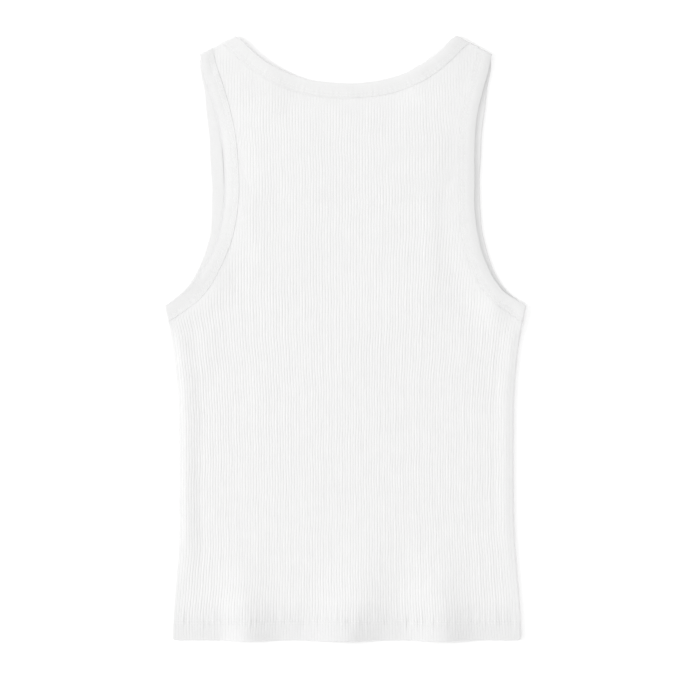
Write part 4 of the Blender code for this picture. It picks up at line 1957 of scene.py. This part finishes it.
    def stitching(self) -> bpy.types.Object:
        """Adds the two rows of stitches that hold the binding, on its outer face all the way round.

        Returns:
            The stitches' object.
        """
        path = self.path()
        run = run_along(path.origin + path.out * self.cut.binding_thickness)
        at_seam, height = np.array([1.0]), np.array([self.cut.binding_thickness])
        mesher = Mesher()
        for row in self.needle_rows:
            line = self.surface(path, run, at_seam, np.array([-row]), height)[:, 0]
            Stitches().add_row(mesher, looped(line), looped(path.out), closed=True)
        name = f"{self.piece}_stitches"
        return add_piece(name, mesher.mesh(name), self.thread)

    def build(self, rests_on: Sequence[str]) -> bpy.types.Object:
        """Adds the binding and its stitches, in place of its solid.

        Args:
            rests_on: The names of the pieces that it holds; not used.

        Returns:
            The binding's object.
        """
        piece = add_piece(self.piece, self.mesh(), self.knit)
        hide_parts(self.node)
        flat = (2.0 * self.cut.binding_width + self.cut.binding_thickness, self.length())
        self.stitching()
        return piece


@dataclass
class NeckBinding(Binding):
    """The binding round the neck, from the middle of the front to the right and back round the left."""

    def path(self) -> Path:
        """The right half's sections, up its front and down its back, and the left half's the other way.

        Returns:
            The ring; the middle's two sections are the right half's alone.
        """
        front, back = (self.edge_path(Opening.NECK, side) for side in Side)
        right = Path.joined(front, self.fold_path(self.cut.neck), back.picked(BACKWARDS))
        return Path.joined(right, right.picked(slice(1, -1)).mirrored())


@dataclass
class ArmholeBinding(Binding):
    """The binding round an armhole, worked out on the right and mirrored for the left."""

    left: bool = False

    def path(self) -> Path:
        """Up the front, over the shoulder, down the back and round the underarm.

        Returns:
            The ring, on the armhole's own half of the garment.
        """
        front, back = (self.edge_path(Opening.ARMHOLE, side) for side in Side)
        over, under = self.fold_path(self.cut.shoulder), self.fold_path(self.cut.underarm)
        ring = Path.joined(front, over, back.picked(BACKWARDS), under.picked(BACKWARDS))
        return ring.mirrored() if self.left else ring


# ---------------------------------------------------------------- the whole garment and its studio


@dataclass
class TankTop:
    """The garment: two ribbed panels and three bindings."""

    cut: Cut
    rib_knit: Knit = Knit("white_rib_knit")
    plain_knit: Knit = Knit(
        "white_plain_knit",
        light=(0.778, 0.778, 0.776, 1.0),
        wales=3.2,
        courses=3.6,
        mottle=0.25,
        ribbed=False,
        soak=0.2,
        soak_depth=0.0004,
    )
    sewing: Thread = Thread()

    def build(self) -> None:
        """Adds every piece, the front first, and logs each panel's flat area."""
        rib, plain, thread = (finish.material() for finish in (self.rib_knit, self.plain_knit, self.sewing))
        front, back = FrontPanel(self.cut, rib, thread), BackPanel(self.cut, rib, thread)
        front.build(())
        back.build((front.piece,))
        common = (self.cut, back.lie, plain, thread)
        bindings = (
            NeckBinding(*common, "neck_band", "neck_binding", phase=0.4, sag_share=back.lie.band_sag_share),
            # the right band gets painted shadow on its inside strip, the left band painted shade along its
            # back edge
            ArmholeBinding(
                *common, "armhole_band_right", "armhole_binding_right",
                phase=1.9, pressed=0.32, rolled=0.62, painted_inside_shade=0.2,
            ),
            ArmholeBinding(
                *common, "armhole_band_left", "armhole_binding_left",
                phase=3.3, painted_edge_shade=1.15, left=True,
            ),
        )
        for binding in bindings:
            binding.build((front.piece, back.piece))


@dataclass(frozen=True)
class SoftLight:
    """A large square light that looks at the garment's middle."""

    name: str
    place: tuple
    size: float
    power: float

    def build(self) -> None:
        """Adds the light."""
        data = bpy.data.lights.new(self.name, "AREA")
        data.shape = "SQUARE"
        data.size = self.size
        data.energy = self.power
        light = add_object(self.name, data)
        light.location = self.place
        light.rotation_euler = light.location.to_track_quat("Z", "Y").to_euler()


@dataclass(frozen=True)
class Studio:
    """A pale floor, an even surround, a soft light from the left, and a camera straight above."""

    paper: Paper = Paper()
    floor_size: float = 6.0
    floor_drop: float = 0.0002
    white: tuple = (1.0, 1.0, 1.0, 1.0)
    surround: float = 1.02
    lights: tuple = (SoftLight("left_light", (-6.40, 0.67, 2.74), 1.4, 250.0),)
    camera_height: float = 1.6
    camera_centre: tuple = (0.00298, -0.01191)
    view_width: float = 0.6954
    sensor: float = 36.0

    def add_floor(self) -> None:
        """Adds the floor: one square, just under what it carries."""
        half = self.floor_size / 2
        corners = ((-half, -half), (half, -half), (half, half), (-half, half))
        mesh = bpy.data.meshes.new("floor")
        mesh.from_pydata([(x, y, -self.floor_drop) for x, y in corners], [], [(0, 1, 2, 3)])
        mesh.materials.append(self.paper.material())
        add_object("floor", mesh)

    def add_surround(self) -> None:
        """Sets the world to an even white, and the colours to be shown as they are."""
        world = bpy.data.worlds.new("surround")
        world.use_nodes = True
        inputs = world.node_tree.nodes["Background"].inputs
        inputs["Color"].default_value = self.white
        inputs["Strength"].default_value = self.surround
        bpy.context.scene.world = world
        bpy.context.scene.view_settings.view_transform = "Standard"

    def add_camera(self) -> None:
        """Adds the camera; its lens is the sensor's width times the height over the view's width."""
        data = bpy.data.cameras.new("camera")
        data.sensor_width = self.sensor
        data.lens = self.sensor * self.camera_height / self.view_width
        camera = add_object("camera", data)
        camera.location = (*self.camera_centre, self.camera_height)
        bpy.context.scene.camera = camera

    def build(self) -> None:
        """Adds the floor, the lights, the surround and the camera."""
        self.add_floor()
        for light in self.lights:
            light.build()
        self.add_surround()
        self.add_camera()


def main() -> None:
    """Builds the garment and its studio."""
    logging.basicConfig(level=logging.INFO, format="%(name)s: %(message)s")
    TankTop(Cut()).build()
    Studio().build()


if __name__ == "__main__":
    main()
